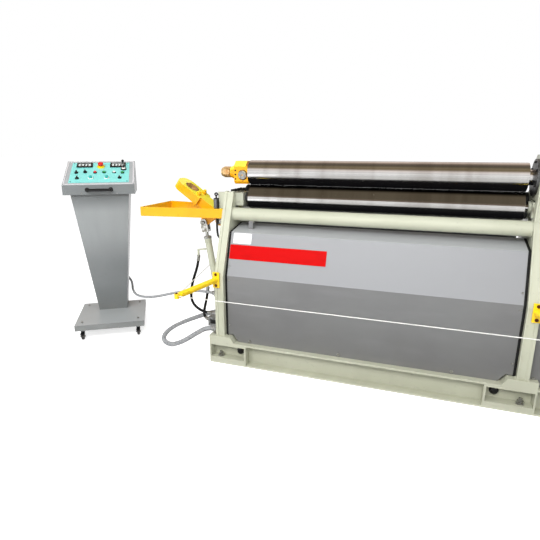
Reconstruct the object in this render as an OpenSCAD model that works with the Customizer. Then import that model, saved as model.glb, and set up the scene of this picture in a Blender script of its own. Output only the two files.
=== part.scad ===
// Three-roll plate rolling machine with a drop end, and the operator console that belongs to it.
// Millimetres. X runs along the rolls towards the drive end, Y to the rear, Z up.
// The origin is on the floor, at the centre of the anchor holes and under the top roll's axis.

/* [Rolls] */
// Diameter of the three rolls
roll_d = 150; // [120:1:170]
// Working length of the rolls
roll_len = 1550; // [1050:10:2050]
// Height of the top roll's axis
roll_z = 1215; // [1195:1:1280]
// How far the rolls stand off the middle towards the drive end
roll_shift = 24; // [10:1:30]
// Gap that stands open between the top roll and the lower roll
roll_gap = 6; // [5:0.5:9]
// How far the rear roll stands behind the top roll
rear_roll_y = 165; // [155:1:180]
// How far the rear roll stands below the lower roll's axis
rear_roll_drop = 8; // [6:1:40]
// Diameter of the top roll's journal at the drop end
journal_d = 58; // [40:1:64]
// Diameter of the lower and rear rolls' journals
low_journal_d = 50; // [40:1:56]

/* [Side frames] */
// Thickness of a side frame
frame_t = 60; // [45:1:80]
// Space between the roll's end and the side frame
frame_gap = 68; // [50:1:90]
// Half depth of a side frame at its foot
frame_half_y = 272; // [250:1:280]
// How far the drop-end frame rises above the lower roll's axis
frame_over = 41; // [36:1:60]
// Height at which the front edge starts to lean back
lean_z = 590; // [500:10:700]
// Half length of the drop-end frame's top edge, in front of the rolls
top_front_y = 80; // [70:1:100]
// Depth of the groove between a frame's two edge plates
groove = 4; // [2:0.5:8]
// Half width of the slide way that holds the lower roll's bearing
way_half = 58; // [54:1:62]
// Running gap on each side of a lower bearing block
way_clear = 0.3; // [0.2:0.1:1]
// Travel of the lower roll down from rest, which frees a thick plate
pinch_down = 6; // [3:0.5:8]
// Travel of the lower roll up from rest, which grips a thin plate
pinch_up = 4; // [2:0.5:5]

/* [Base] */
// Height of the base beams
beam_h = 150; // [120:1:180]
// Depth of a base beam from front to back
beam_y = 75; // [60:1:100]
// Thickness of a base beam's flanges
flange_t = 12; // [8:1:18]
// Front face of the feet, measured from the roll plane
foot_y = 280; // [270:1:320]
// Length of a foot along the rolls
foot_x = 251; // [220:1:300]
// Height of the raised block that carries the side frame
foot_top = 190; // [170:1:210]
// Diameter of the anchor holes
anchor_d = 22; // [16:1:28]
// Half distance between the front and rear anchor holes
anchor_y = 245; // [235:1:255]

/* [Covers] */
// Sheet thickness of the covers
sheet = 3; // [2:0.5:5]
// Gap between a cover's end and the side frame
cover_gap = 14; // [8:1:20]
// Front face of the cover, measured from the roll plane
cover_y = 240; // [225:1:250]
// Where the cover's sloping panel ends
ridge = [-155, 855];
// Back edge of the cover's top panel
crest = [20, 890];

/* [Ties] */
// Diameter of the front tie tube
tie_d = 82; // [60:1:86]
// Place of the front tie tube, as depth and height
tie_at = [-77, 958];

/* [Drop end] */
// Angle at which the drop end stands open
open_angle = 54.6; // [40:0.1:58]
// Distance of the yoke's hinge from the frame's outer face
hinge_out = 44; // [40:1:60]
// Height of the yoke's hinge
hinge_z = 907; // [890:1:930]
// Thickness of the yoke
yoke_t = 54; // [40:1:60]
// Half width of the yoke's head
head_half = 78; // [65:1:90]
// Reach of the yoke's head beyond its socket's centre
head_reach = 98; // [80:1:110]
// Rounding of the head's two far corners
head_round = 62; // [40:1:64]
// Half width of the yoke's arm
arm_half = 56; // [45:1:60]
// Bore of the yoke's socket bush
socket_d = 80; // [74:1:90]
// Wall of the socket bush
bush_wall = 8; // [4:1:12]
// Diameter of the bronze nose that enters the socket
nose_d = 69; // [50:1:70]
// Diameter of the yoke's hinge pin
hinge_pin_d = 30; // [20:1:36]
// Radial running clearance of pins and shafts
run_fit = 0.05; // [0.02:0.01:0.09]

/* [Cylinder] */
// Diameter of the cylinder barrel
barrel_d = 45; // [40:1:50]
// Length of the barrel from its lower pin
barrel_len = 396; // [380:1:410]
// Diameter of the chrome rod
rod_d = 22; // [16:1:25]
// Diameter of the two cylinder pins
pin_d = 16; // [12:1:18]
// Diameter of the open pivot's hole in the yoke's lug
slack_d = 38; // [37:1:40]

/* [Console] */
// Width of the console's desk and base
desk_w = 490; // [420:1:560]
// Width of the column at its foot
column_foot_w = 212; // [160:1:260]
// Width of the column at its top
column_top_w = 400; // [320:1:440]
// Height of the desk's lower front edge
desk_z = 1043; // [980:1:1080]
// Height of the desk's front skirt
skirt_h = 69; // [50:1:90]
// Slope of the desk's top
desk_slope = 24; // [15:1:30]
// Depth of the base plate
base_depth = 505; // [440:1:560]
// Diameter of the castor wheels
wheel_d = 50; // [40:1:56]

/* [Hidden] */

cream = [0.84, 0.85, 0.77];
cover_grey = [0.60, 0.61, 0.61];
guard_yellow = [1.0, 0.76, 0.10];
steel = [0.72, 0.72, 0.73];
bronze = [0.80, 0.62, 0.36];
console_grey = [0.58, 0.60, 0.60];
black = [0.06, 0.06, 0.07];

eps = 0.01;
low_z = roll_z - roll_d - roll_gap;
rear_z = low_z - rear_roll_drop;
frame_top = low_z + frame_over;
roll_end = roll_len / 2;
roll_left = roll_shift - roll_end;
roll_right = roll_shift + roll_end;
frame_in = roll_end + frame_gap;
frame_out = frame_in + frame_t;
foot_in = frame_out + 45 - foot_x;
anchor_x = frame_out - 21;
drive_end = frame_out + 577;
head_top = roll_z + 115;

// ---------------------------------------------------------------- shared shapes

// Extrudes an outline drawn as (depth, height) along the rolls, from x0 to x1.
module along_x(x0, x1) {
    translate([x0, 0, 0])
        rotate([90, 0, 90])
            linear_extrude(x1 - x0)
                children();
}

// Extrudes an outline drawn as (x, height) to both sides of the roll plane.
module along_y(y0, y1) {
    translate([0, y1, 0])
        rotate([90, 0, 0])
            linear_extrude(y1 - y0)
                children();
}

module rod_x(d, x0, x1, y, z) {
    translate([x0, y, z])
        rotate([0, 90, 0])
            cylinder(d = d, h = x1 - x0, $fn = 64);
}

module rod_y(d, y0, y1, x, z) {
    translate([x, y1, z])
        rotate([90, 0, 0])
            cylinder(d = d, h = y1 - y0, $fn = 64);
}

// Round bar between two points.
module bar(a, b, d) {
    run = b - a;
    flat = norm([run[0], run[1]]);
    translate(a)
        rotate([0, atan2(flat, run[2]), atan2(run[1], run[0])])
            cylinder(d = d, h = norm(run), $fn = 48);
}

module box(from, to) {
    translate(from)
        cube(to - from);
}

module both_ends() {
    children();
    mirror([1, 0, 0])
        children();
}

module front_and_rear() {
    children();
    mirror([0, 1, 0])
        children();
}

// ---------------------------------------------------------------- cords

// Unit direction of a route at ring i.
function heading(route, i) =
    let (last = len(route) - 1,
         run = route[min(i + 1, last)] - route[max(i - 1, 0)])
    run / norm(run);

// Ring of n points round place p, square to direction t; t is never along the side vector w.
function ring(p, t, d, n, w) =
    let (side = cross(w, t),
         u = side / norm(side),
         v = cross(t, u))
    [for (k = [0:n - 1]) p + d / 2 * (cos(360 * k / n) * u + sin(360 * k / n) * v)];

// Tube of diameter d swept through the points of a route; its ends are square to end_a and end_b.
module cord(route, d, end_a, end_b, w = [0, 0, 1], n = 10) {
    last = len(route) - 1;
    rings = [for (i = [0:last])
                 ring(route[i], i == 0 ? end_a : i == last ? end_b : heading(route, i), d, n, w)];
    points = [for (r = rings) each r];
    walls = [for (i = [0:last - 1], k = [0:n - 1])
                 [i * n + k, i * n + (k + 1) % n, (i + 1) * n + (k + 1) % n, (i + 1) * n + k]];
    cap_a = [for (k = [0:n - 1]) n - 1 - k];
    cap_b = [for (k = [0:n - 1]) last * n + k];
    polyhedron(points, concat([cap_a], walls, [cap_b]), convexity = 6);
}

hose_d = 18;
loop_d = 32;
lead_d = 18;
upper_route = [[-1155, 0, 645], [-1158, -3, 608], [-1163, -10, 570], [-1170, -22, 532], [-1177, -38, 495],
               [-1181, -56, 458], [-1180, -75, 422], [-1173, -96, 388], [-1158, -118, 358],
               [-1132, -140, 336], [-1098, -160, 322], [-1060, -180, 315], [-1022, -198, 313],
               [-984, -212, 316], [-946, -220, 320]];
lower_route = [[-1092, 0, 420], [-1092, -8, 388], [-1089, -26, 356], [-1084, -52, 328], [-1076, -84, 306],
               [-1064, -118, 290], [-1047, -152, 279], [-1024, -184, 272], [-996, -206, 270], [-970, -212, 270]];
loop_route = [[-947, -240, 222], [-1000, -241, 208], [-1062, -243, 170], [-1128, -247, 124], [-1196, -250, 84],
              [-1262, -244, 61], [-1325, -216, 56], [-1374, -162, 62], [-1388, -94, 76], [-1362, -30, 98],
              [-1302, 16, 126], [-1230, 40, 156], [-1152, 50, 188], [-1074, 54, 218], [-1004, 55, 240],
              [-947, 55, 246]];
lead_route = [[-2059, 262, 390], [-2078, 303, 382], [-2078, 337, 362], [-2062, 359, 333], [-2035, 364, 305],
              [-2005, 351, 284], [-1976, 325, 268], [-1948, 291, 254], [-1917, 252, 244], [-1868, 200, 238],
              [-1814, 152, 239], [-1756, 109, 247], [-1694, 73, 258], [-1628, 42, 272], [-1556, 12, 291],
              [-1480, -18, 316], [-1398, -50, 346], [-1310, -84, 378], [-1216, -120, 408], [-1120, -158, 434],
              [-1030, -192, 452], [-946, -214, 458]];

module hose_upper() {
    color(black)
        cord(upper_route, hose_d, [0, 0, -1], [1, 0, 0], [0, 1, 0]);
}

module hose_lower() {
    color(black)
        cord(lower_route, hose_d, [0, 0, -1], [1, 0, 0], [0, 1, 0]);
}

module conduit_loop() {
    color([0.62, 0.63, 0.64])
        cord(loop_route, loop_d, [-1, 0, 0], [1, 0, 0]);
}

module console_conduit() {
    color([0.66, 0.67, 0.68])
        cord(lead_route, lead_d, in_console([0, 1, 0]), [1, 0, 0]);
}

// ---------------------------------------------------------------- base

// Channel whose open side faces the front, with web and flanges.
module channel(x0, x1, lip_t) {
    difference() {
        box([x0, -foot_y, 0], [x1, -foot_y + beam_y, beam_h]);
        box([x0 - 1, -foot_y - 1, lip_t], [x1 + 1, -foot_y + beam_y - flange_t, beam_h - flange_t]);
    }
}

module foot(side) {
    mirror([side < 0 ? 1 : 0, 0, 0])
        difference() {
            union() {
                box([foot_in, -foot_y, 0], [foot_in + foot_x, foot_y, beam_h]);
                along_y(-foot_y, foot_y)
                    polygon([[frame_in - 66, beam_h - eps], [frame_in - 40, foot_top],
                             [foot_in + foot_x, foot_top], [foot_in + foot_x, beam_h - eps]]);
            }
            front_and_rear() {
                box([foot_in + 9, -foot_y - 1, foot_lip],
                    [foot_in + foot_x - 9, -foot_y + beam_y - flange_t, 126]);
                translate([anchor_x, -anchor_y, -1])
                    cylinder(d = anchor_d, h = foot_lip + 2, $fn = 48);
                translate([frame_in - 90, -foot_y + beam_y + 60, 83])
                    rotate([90, 0, 0])
                        cylinder(d = 38, h = 61 + flange_t, $fn = 48);
            }
        }
}

foot_lip = 40;

module left_foot() {
    color(cream)
        foot(-1);
}

module right_foot() {
    color(cream)
        foot(1);
}

module front_beam() {
    color(cream)
        channel(-foot_in, foot_in, 10);
}

module rear_beam() {
    color(cream)
        mirror([0, 1, 0])
            channel(-foot_in, foot_in, 10);
}

// Welded stand under the drive housing: two channels and a cross beam at the far end.
module drive_base() {
    color(cream) {
        front_and_rear()
            channel(foot_in + foot_x, drive_end - 80, 10);
        difference() {
            box([drive_end - 80, -foot_y, 0], [drive_end, foot_y, beam_h]);
            front_and_rear()
                box([drive_end - 71, -foot_y - 1, foot_lip],
                    [drive_end - 9, -foot_y + beam_y - flange_t, 126]);
        }
    }
}

// ---------------------------------------------------------------- side frames

rear_knee_z = low_z - 40;
rear_top_y = rear_roll_y + 60;

// Outline of the drop-end frame; cut draws it smaller, for the grooved core.
module drop_outline(cut) {
    polygon([[-frame_half_y + cut, foot_top], [-frame_half_y + cut, lean_z],
             [-top_front_y + cut, frame_top - cut], [rear_top_y - cut, frame_top - cut],
             [frame_half_y - cut, rear_knee_z], [frame_half_y - cut, foot_top]]);
}

// Outline of the drive-end frame, which rises round the top roll's bearing.
module drive_outline(cut) {
    shoulder = 110;
    polygon([[-frame_half_y + cut, foot_top], [-frame_half_y + cut, lean_z],
             [-shoulder + cut, frame_top - 103], [-shoulder + cut, head_top - 50],
             [-shoulder + 50, head_top - cut], [shoulder - 50, head_top - cut],
             [shoulder - cut, head_top - 50], [shoulder - cut, frame_top + 60],
             [rear_top_y - cut, frame_top - cut], [frame_half_y - cut, rear_knee_z],
             [frame_half_y - cut, foot_top]]);
}

way_floor = low_z - way_half - pinch_down - 44;
ram_d = 50;

// Way for a lower bearing, with the bore of its lifting ram below it.
module bearing_way(x0, x1, top) {
    box([x0 - 1, -way_half, way_floor], [x1 + 1, way_half, top]);
    translate([(x0 + x1) / 2, 0, way_floor - 70])
        cylinder(d = ram_d + 2 * run_fit, h = 71, $fn = 64);
}

module rear_bearing_hole(x0, x1) {
    rod_x(rear_housing_d, x0 - 1, x1 + 1, rear_roll_y, rear_z);
}

rear_housing_d = 80;
way_top = frame_top - pinch_up - 5;

module left_frame() {
    color(cream)
        mirror([1, 0, 0])
            difference() {
                union() {
                    along_x(frame_in, frame_in + 8)
                        drop_outline(0);
                    along_x(frame_in + 8 - eps, frame_out - 18 + eps)
                        drop_outline(groove);
                    along_x(frame_out - 18, frame_out)
                        drop_outline(0);
                }
                bearing_way(frame_in, frame_out, frame_top + 1);
                rear_bearing_hole(frame_in, frame_out);
            }
}

module right_frame() {
    color(cream)
        difference() {
            union() {
                along_x(frame_in, frame_in + 8)
                    drive_outline(0);
                along_x(frame_in + 8 - eps, frame_out - 18 + eps)
                    drive_outline(groove);
                along_x(frame_out - 18, frame_out)
                    drive_outline(0);
            }
            bearing_way(frame_in, frame_out, frame_top);
            rear_bearing_hole(frame_in, frame_out);
            rod_x(drive_housing_d, frame_in - 1, frame_out + 1, 0, roll_z);
        }
}

// Black keeper plates that close the open way in the drop-end frame.
module way_caps() {
    color(black)
        front_and_rear()
            box([-frame_in - 26, -way_half - 8, frame_top],
                [-frame_in + 20, -way_half + 32, frame_top + 10]);
}

// ---------------------------------------------------------------- ties and covers

module tie_tube() {
    color(cream)
        rod_x(tie_d, -frame_in, frame_in, tie_at[0], tie_at[1]);
}

module rear_tie_tube() {
    color(cream)
        rod_x(tie_d, -frame_in, frame_in, 190, 760);
}

// Unit normal of the run from a to b, to its left.
function left_of(a, b) =
    let (d = b - a)
    [-d[1], d[0]] / norm(d);

// Inner corner of a bent sheet: the outer points moved in by t, mitred at each bend.
function inner_line(p, t) =
    let (last = len(p) - 1)
    [for (i = [0:last])
        let (n0 = left_of(p[max(i - 1, 0)], p[max(i, 1)]),
             n1 = left_of(p[min(i, last - 1)], p[min(i + 1, last)]),
             m = n0 + n1)
        p[i] - m * t * 2 / (m * m)];

function reversed(p) = [for (i = [len(p) - 1:-1:0]) p[i]];

module bent_sheet(p, t) {
    polygon(concat(p, reversed(inner_line(p, t))));
}

cover_end = frame_in - cover_gap;
seal_t = 16;
cover_line = [[-cover_y, beam_h], [-cover_y, lean_z], ridge, crest];
notch_w = 62;

module cover_corner() {
    along_y(-cover_y - 10, cover_y + 10)
        polygon([[cover_end - notch_w + 26, foot_top + 6], [cover_end + 10, foot_top + 6],
                 [cover_end + 10, beam_h - 10], [cover_end - notch_w - 26, beam_h - 10],
                 [cover_end - notch_w - 8, beam_h + 2]]);
}

module front_cover() {
    color(cover_grey) {
        difference() {
            along_x(-cover_end, cover_end)
                bent_sheet(cover_line, sheet);
            both_ends()
                cover_corner();
        }
        // Catch bracket that stands on the top panel at the drop end
        box([-cover_end + 92, -92, crest[1] - 24], [-cover_end + 118, -89, tie_at[1] - tie_d / 2 + 1.5]);
    }
}

rear_line = [[cover_y, beam_h], [cover_y, 905], [190, 950]];

module rear_cover() {
    color(cover_grey)
        difference() {
            along_x(-cover_end, cover_end)
                bent_sheet(reversed(rear_line), sheet);
            both_ends()
                cover_corner();
        }
}

// Black rubber strips between the covers' ends and the side frames.
module cover_seals() {
    color(black)
        both_ends()
            along_x(cover_end, frame_in)
                bent_sheet([for (p = cover_line) [p[0], max(p[1], foot_top)]], seal_t);
}

// Outline of the drive housing as (depth, height), drawn smaller by cut for its inside.
module housing_outline(cut) {
    polygon([[-cover_y + cut, beam_h + cut], [-cover_y + cut, lean_z], [ridge[0] + cut, ridge[1]],
             [-140 + cut, 1010], [-90 + cut, 1060 - cut], [cover_y - cut, 1060 - cut], [cover_y - cut, beam_h + cut]]);
}

// Solid form of the drive housing, which stands clear of the foot's raised block.
module housing_form(cut) {
    difference() {
        along_x(frame_out + cut, drive_end - cut)
            housing_outline(cut);
        box([frame_out - 1, -foot_y, 0], [foot_in + foot_x + cut, foot_y, foot_top + cut]);
    }
}

// Closed sheet housing over the motor, gearbox and pump.
module drive_housing() {
    color(cover_grey)
        difference() {
            housing_form(0);
            housing_form(sheet);
        }
}

// ---------------------------------------------------------------- rolls and their bearings

drive_housing_d = 150;
drive_journal_d = 80;
block_gap = 4;
block_len = 92;
block_left = roll_left - block_gap - block_len;
neck_left = -frame_out + 10;
nose_len = 59;

module top_roll() {
    color(steel) {
        rod_x(roll_d, roll_left, roll_right, 0, roll_z);
        rod_x(journal_d, neck_left, roll_left + eps, 0, roll_z);
        rod_x(drive_journal_d, roll_right - eps, frame_out - 4, 0, roll_z);
    }
}

// Bronze nose on the journal's end, with a lead-in cone.
module roll_nose() {
    color(bronze)
        translate([neck_left, 0, roll_z])
            rotate([0, -90, 0])
                rotate_extrude($fn = 72)
                    polygon([[0, 0], [nose_d / 2, 0], [nose_d / 2, nose_len - 17], [nose_d / 2 - 4, nose_len - 10],
                             [nose_d / 2 - 8, nose_len], [0, nose_len]]);
}

// Yellow bearing block that rides on the journal, with its tapered neck and the plug in its face.
module top_bearing_block() {
    h = 70;
    c = 16;
    step = 14;
    color(guard_yellow)
        difference() {
            union() {
                along_x(block_left, block_left + block_len)
                    polygon([[-60, -h + c + roll_z], [-60 + c, -h + roll_z], [60 - c, -h + roll_z],
                             [60, -h + c + roll_z], [60, h - 2 * c + roll_z], [60 - 2 * c, h + roll_z],
                             [-60 + 2 * c, h + roll_z], [-60, h - 2 * c + roll_z]]);
                translate([neck_left + 5, 0, roll_z])
                    rotate([0, 90, 0])
                        cylinder(d1 = nose_d - 1, d2 = 104, h = block_left - neck_left - 5 + eps, $fn = 64);
                rod_y(54, -70, -59, block_left + 60, roll_z - 14);
            }
            rod_x(journal_d + 2 * run_fit, neck_left, roll_left, 0, roll_z);
            // Step in the top edge beside the roll
            box([block_left + block_len - step, -h, roll_z + h - 2 * c], [roll_left, h, roll_z + h + 1]);
        }
}

// Flanged bearing in the drive-end frame.
module drive_bearing() {
    color([0.45, 0.46, 0.47])
        difference() {
            union() {
                rod_x(drive_housing_d, frame_in, frame_out, 0, roll_z);
                rod_x(drive_housing_d + 40, frame_in - 14, frame_in, 0, roll_z);
            }
            rod_x(drive_journal_d + 2 * run_fit, frame_in - 20, frame_out + 1, 0, roll_z);
        }
}

module lower_roll() {
    color(steel) {
        rod_x(roll_d, roll_left, roll_right, 0, low_z);
        rod_x(low_journal_d, -frame_out + 6, frame_out - 6, 0, low_z);
    }
}

end_gap = 36;

// Sliding block that reaches to the given distance from the middle, with its round cover towards
// the roll and its ram below.
module lower_bearing(reach) {
    half = way_half - way_clear;
    difference() {
        union() {
            box([frame_in + 2, -half, low_z - way_half], [frame_out - 2, half, way_top]);
            box([reach, -half, low_z - way_half + 9], [frame_in + 3, half, way_top]);
            rod_x(2 * (way_top - low_z), reach - 14, reach + 1, 0, low_z);
            translate([(frame_in + frame_out) / 2, 0, way_floor - 50])
                cylinder(d = ram_d, h = low_z - way_half - way_floor + 50 + eps, $fn = 64);
        }
        rod_x(low_journal_d + 2 * run_fit, reach - 15, frame_out, 0, low_z);
    }
}

module lower_bearings() {
    color([0.50, 0.51, 0.51]) {
        mirror([1, 0, 0])
            lower_bearing(end_gap - roll_left);
        lower_bearing(roll_right + end_gap);
    }
}

module rear_roll() {
    color(steel) {
        rod_x(roll_d, roll_left, roll_right, rear_roll_y, rear_z);
        rod_x(low_journal_d, -frame_out + 6, frame_out - 6, rear_roll_y, rear_z);
    }
}

// Rear bearing in its side frame, with the wide flange that reaches almost to the roll's end.
module rear_bearing(end) {
    difference() {
        union() {
            rod_x(rear_housing_d, frame_in - 1, frame_out, rear_roll_y, rear_z);
            rod_x(roll_d, end + block_gap, frame_in, rear_roll_y, rear_z);
        }
        rod_x(low_journal_d, end, frame_out - 6, rear_roll_y, rear_z);
    }
}

module rear_bearings() {
    color([0.45, 0.46, 0.47]) {
        mirror([1, 0, 0])
            rear_bearing(-roll_left);
        rear_bearing(roll_right);
    }
}

// ---------------------------------------------------------------- drop end

hinge_x = -frame_out - hinge_out;
socket_h = roll_z - hinge_z;
plate_mid = 7;
plate_lo = plate_mid - yoke_t / 2;
plate_hi = plate_mid + yoke_t / 2;
arm_top = 195;
lug_pin = [-108.7, 105.7];
lug_r = 27;
lug_t = 20;
lug_slope = 25.7;

// Places its children in the yoke's own axes: hinge at the origin, arm upright when closed.
module at_hinge(angle) {
    translate([hinge_x, 0, hinge_z])
        rotate([0, -angle, 0])
            children();
}

// Lug that the cylinder pushes on, in the yoke's own axes.
module yoke_lug() {
    away = plate_lo + 4 - lug_pin[0] - lug_r * sin(lug_slope);
    rise = away * tan(lug_slope);
    tip_hi = lug_pin + lug_r * [-sin(lug_slope), cos(lug_slope)];
    tip_lo = lug_pin - lug_r * [sin(lug_slope), cos(lug_slope)];
    along_y(-lug_t / 2, lug_t / 2) {
        polygon([tip_hi, tip_lo, [plate_lo + 4, max(tip_lo[1] - rise, 4)], [plate_lo + 4, tip_hi[1] + rise]]);
        translate(lug_pin)
            circle(r = lug_r, $fn = 48);
    }
}

module yoke() {
    color(guard_yellow)
        at_hinge(open_angle)
            difference() {
                union() {
                    along_x(plate_lo, plate_hi)
                        polygon([[-arm_half, 0], [-arm_half, arm_top], [arm_half, arm_top], [arm_half, 0]]);
                    rod_y(2 * hinge_boss_r, -arm_half, arm_half, 0, 0);
                    yoke_lug();
                }
                rod_y(hinge_pin_d + 2 * run_fit, -arm_half - 1, arm_half + 1, 0, 0);
                rod_y(slack_d, -lug_t, lug_t, lug_pin[0], lug_pin[1]);
            }
}

// Thick head at the end of the yoke's arm, with its socket and the bosses of the stop screws.
module yoke_head() {
    end = socket_h + head_reach;
    color(guard_yellow)
        at_hinge(open_angle)
            difference() {
                union() {
                    along_x(plate_lo, plate_hi) {
                        polygon([[-head_half, arm_top], [-head_half, end - head_round],
                                 [head_half, end - head_round], [head_half, arm_top]]);
                        polygon([[head_round - head_half, arm_top], [head_round - head_half, end],
                                 [head_half - head_round, end], [head_half - head_round, arm_top]]);
                        for (s = [-1, 1])
                            translate([s * (head_half - head_round), end - head_round])
                                circle(r = head_round, $fn = 96);
                    }
                    for (y = [-42, 34])
                        rod_x(30, plate_hi - 1, plate_hi + 16, y, arm_top + 36);
                }
                rod_x(socket_d + 2 * bush_wall, plate_lo - 1, plate_hi + 1, 0, socket_h);
            }
}

// Bronze bush pressed into the yoke's head, which closes over the roll's nose.
module yoke_bush() {
    color(bronze)
        at_hinge(open_angle)
            difference() {
                rod_x(socket_d + 2 * bush_wall, plate_lo, plate_hi, 0, socket_h);
                rod_x(socket_d, plate_lo - 1, plate_hi + 1, 0, socket_h);
            }
}

hinge_boss_r = 31;
lug_gap = 6;

// Two cheeks on the side frame, and the pin that the yoke turns on.
module drop_end_hinge() {
    color(guard_yellow) {
        front_and_rear()
            along_y(-arm_half - lug_gap - 18, -arm_half - lug_gap) {
                translate([hinge_x, hinge_z])
                    circle(r = hinge_boss_r, $fn = 64);
                polygon([[hinge_x, hinge_z - hinge_boss_r], [hinge_x, hinge_z + hinge_boss_r],
                         [-frame_out, hinge_z + 52], [-frame_out, hinge_z - hinge_boss_r]]);
            }
        rod_y(hinge_pin_d, -arm_half - lug_gap - 26, arm_half + lug_gap + 26, hinge_x, hinge_z);
    }
}

// Flat bar guard round the yoke, bolted to the frame's sloping front edge.
guard_top = 990;
guard_h = 60;
guard_bar = 8;
guard_far = [-frame_out - 563, 190];
guard_near = [-frame_out + 18, 112];

module guard_side() {
    run = guard_far - guard_near;
    side = [-run[1], run[0]] / norm(run) * guard_bar / 2;
    a = [guard_near[0], -guard_near[1]];
    b = [guard_far[0], -guard_far[1]];
    s = [side[0], -side[1]];
    translate([0, 0, guard_top - guard_h])
        linear_extrude(guard_h)
            polygon([a - s, a + s, b + s, b - s]);
}

module guard_frame() {
    color(guard_yellow)
        difference() {
            union() {
                front_and_rear()
                    guard_side();
                box([guard_far[0] - guard_bar / 2, -guard_far[1], guard_top - guard_h],
                    [guard_far[0] + guard_bar / 2, guard_far[1], guard_top]);
            }
            along_x(-frame_out, -frame_in)
                drop_outline(0);
        }
}

// ---------------------------------------------------------------- hydraulic cylinder

pivot = [-frame_out - 112, 380];
open_pin = [hinge_x, hinge_z] + [[cos(open_angle), -sin(open_angle)] * lug_pin,
                                 [sin(open_angle), cos(open_angle)] * lug_pin];
rod_run = open_pin - pivot;
pin_to_pin = norm(rod_run);
cylinder_tilt = atan2(-rod_run[0], rod_run[1]);
ear_t = 12;
eye_t = 24;
rod_in = 150;
clevis_len = 66;
clevis_floor = 16;
clevis_gap = 0.5;
clevis_half = lug_t / 2 + ear_t + clevis_gap;

// Places its children in the cylinder's own axes: lower pin at the origin, rod upwards.
module at_cylinder() {
    translate([pivot[0], 0, pivot[1]])
        rotate([0, -cylinder_tilt, 0])
            children();
}

port_hi = 322;
port_lo = 92;
pipe_foot_hi = [-frame_out - 252, 645];
pipe_foot_lo = [-frame_out - 189, 420];

// Banjo pipe and crimped hose end that hang from a port, in the cylinder's own axes.
module port(height, reach, drop) {
    rod_x(12, -reach, 0, 0, height);
    translate([-reach, 0, height])
        sphere(d = 16, $fn = 32);
    translate([-reach, 0, height])
        rotate([0, 180 + cylinder_tilt, 0])
            cylinder(d = 15, h = drop, $fn = 48);
}

// Reach and drop of a port's pipe that ends at its foot, over a hose's first point.
function port_place(height, foot) =
    let (q = foot - pivot,
         c = cos(cylinder_tilt),
         s = sin(cylinder_tilt),
         reach = (-q[0] - height * s) / c)
    [reach, height * c - reach * s - q[1]];

module cylinder_barrel() {
    hi = port_place(port_hi, pipe_foot_hi);
    lo = port_place(port_lo, pipe_foot_lo);
    color(cream)
        at_cylinder()
            difference() {
                union() {
                    translate([0, 0, 34])
                        cylinder(d = barrel_d, h = barrel_len - 34, $fn = 64);
                    box([-18, -eye_t / 2, 0], [18, eye_t / 2, 35]);
                    translate([0, 0, barrel_len - 16])
                        cylinder(d = barrel_d + 4, h = 16, $fn = 64);
                    rod_y(44, -eye_t / 2, eye_t / 2, 0, 0);
                    port(port_hi, hi[0], hi[1]);
                    port(port_lo, lo[0], lo[1]);
                }
                rod_y(pin_d + 2 * run_fit, -eye_t, eye_t, 0, 0);
                translate([0, 0, rod_in - 12])
                    cylinder(d = rod_d + 2 * run_fit, h = barrel_len, $fn = 64);
            }
}

module cylinder_rod() {
    color(steel)
        at_cylinder()
            translate([0, 0, pin_to_pin]) {
                translate([0, 0, rod_in - pin_to_pin])
                    cylinder(d = rod_d, h = pin_to_pin - rod_in - clevis_len + 1, $fn = 64);
                difference() {
                    union() {
                        box([-24, -clevis_half, -clevis_len], [24, clevis_half, 0]);
                        rod_y(48, -clevis_half, clevis_half, 0, 0);
                    }
                    box([-30, ear_t - clevis_half, clevis_floor - clevis_len],
                        [30, clevis_half - ear_t, 30]);
                }
                rod_y(pin_d, -lug_t / 2 - ear_t - 7, lug_t / 2 + ear_t + 7, 0, 0);
            }
}

// Two ears on a pad, welded to the side frame's outer face, with the cylinder's lower pin.
module cylinder_bracket() {
    color(cream) {
        box([-frame_out - 14, -60, pivot[1] - 60], [-frame_out, 60, pivot[1] + 60]);
        front_and_rear()
            along_y(-eye_t / 2 - 1 - ear_t, -eye_t / 2 - 1) {
                translate(pivot)
                    circle(r = 24, $fn = 48);
                polygon([[pivot[0], pivot[1] - 24], [pivot[0], pivot[1] + 24],
                         [-frame_out - 14 + eps, pivot[1] + 44],
                         [-frame_out - 14 + eps, pivot[1] - 44]]);
            }
        rod_y(pin_d, -eye_t / 2 - ear_t - 8, eye_t / 2 + ear_t + 8, pivot[0], pivot[1]);
    }
}

// ---------------------------------------------------------------- switch, trip wire and fittings

switch_x = -frame_out - 53;
switch_y = -99;
plate_edge = -84;

// Cream plate on the side frame's outer face that carries the limit switch.
module switch_bracket() {
    color(cream)
        box([-frame_out - 46, plate_edge, guard_top], [-frame_out, plate_edge + 8, hinge_z + arm_top - 7]);
}

// Roller limit switch that stands behind the guard's front bar.
module limit_switch() {
    top = guard_top + 66;
    ring_z = top + 24;
    color(black) {
        box([switch_x - 12, plate_edge - 31, guard_top - 40], [switch_x + 12, plate_edge, top]);
        box([switch_x - 4, switch_y - 4, top - eps], [switch_x + 4, switch_y + 4, ring_z - 8]);
        difference() {
            rod_y(24, switch_y - 4, switch_y + 4, switch_x, ring_z);
            rod_y(9, switch_y - 5, switch_y + 5, switch_x, ring_z);
        }
    }
}

cable_route = [[switch_x, switch_y, guard_top - 40], [switch_x - 1, switch_y, 900], [switch_x - 1, switch_y, 850],
               [switch_x + 3, switch_y, 815], [switch_x + 18, switch_y, 794], [-frame_out, switch_y, 786]];

module switch_cable() {
    color(black)
        cord(cable_route, 14, [0, 0, -1], [1, 0, 0], [0, 1, 0]);
}

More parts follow.
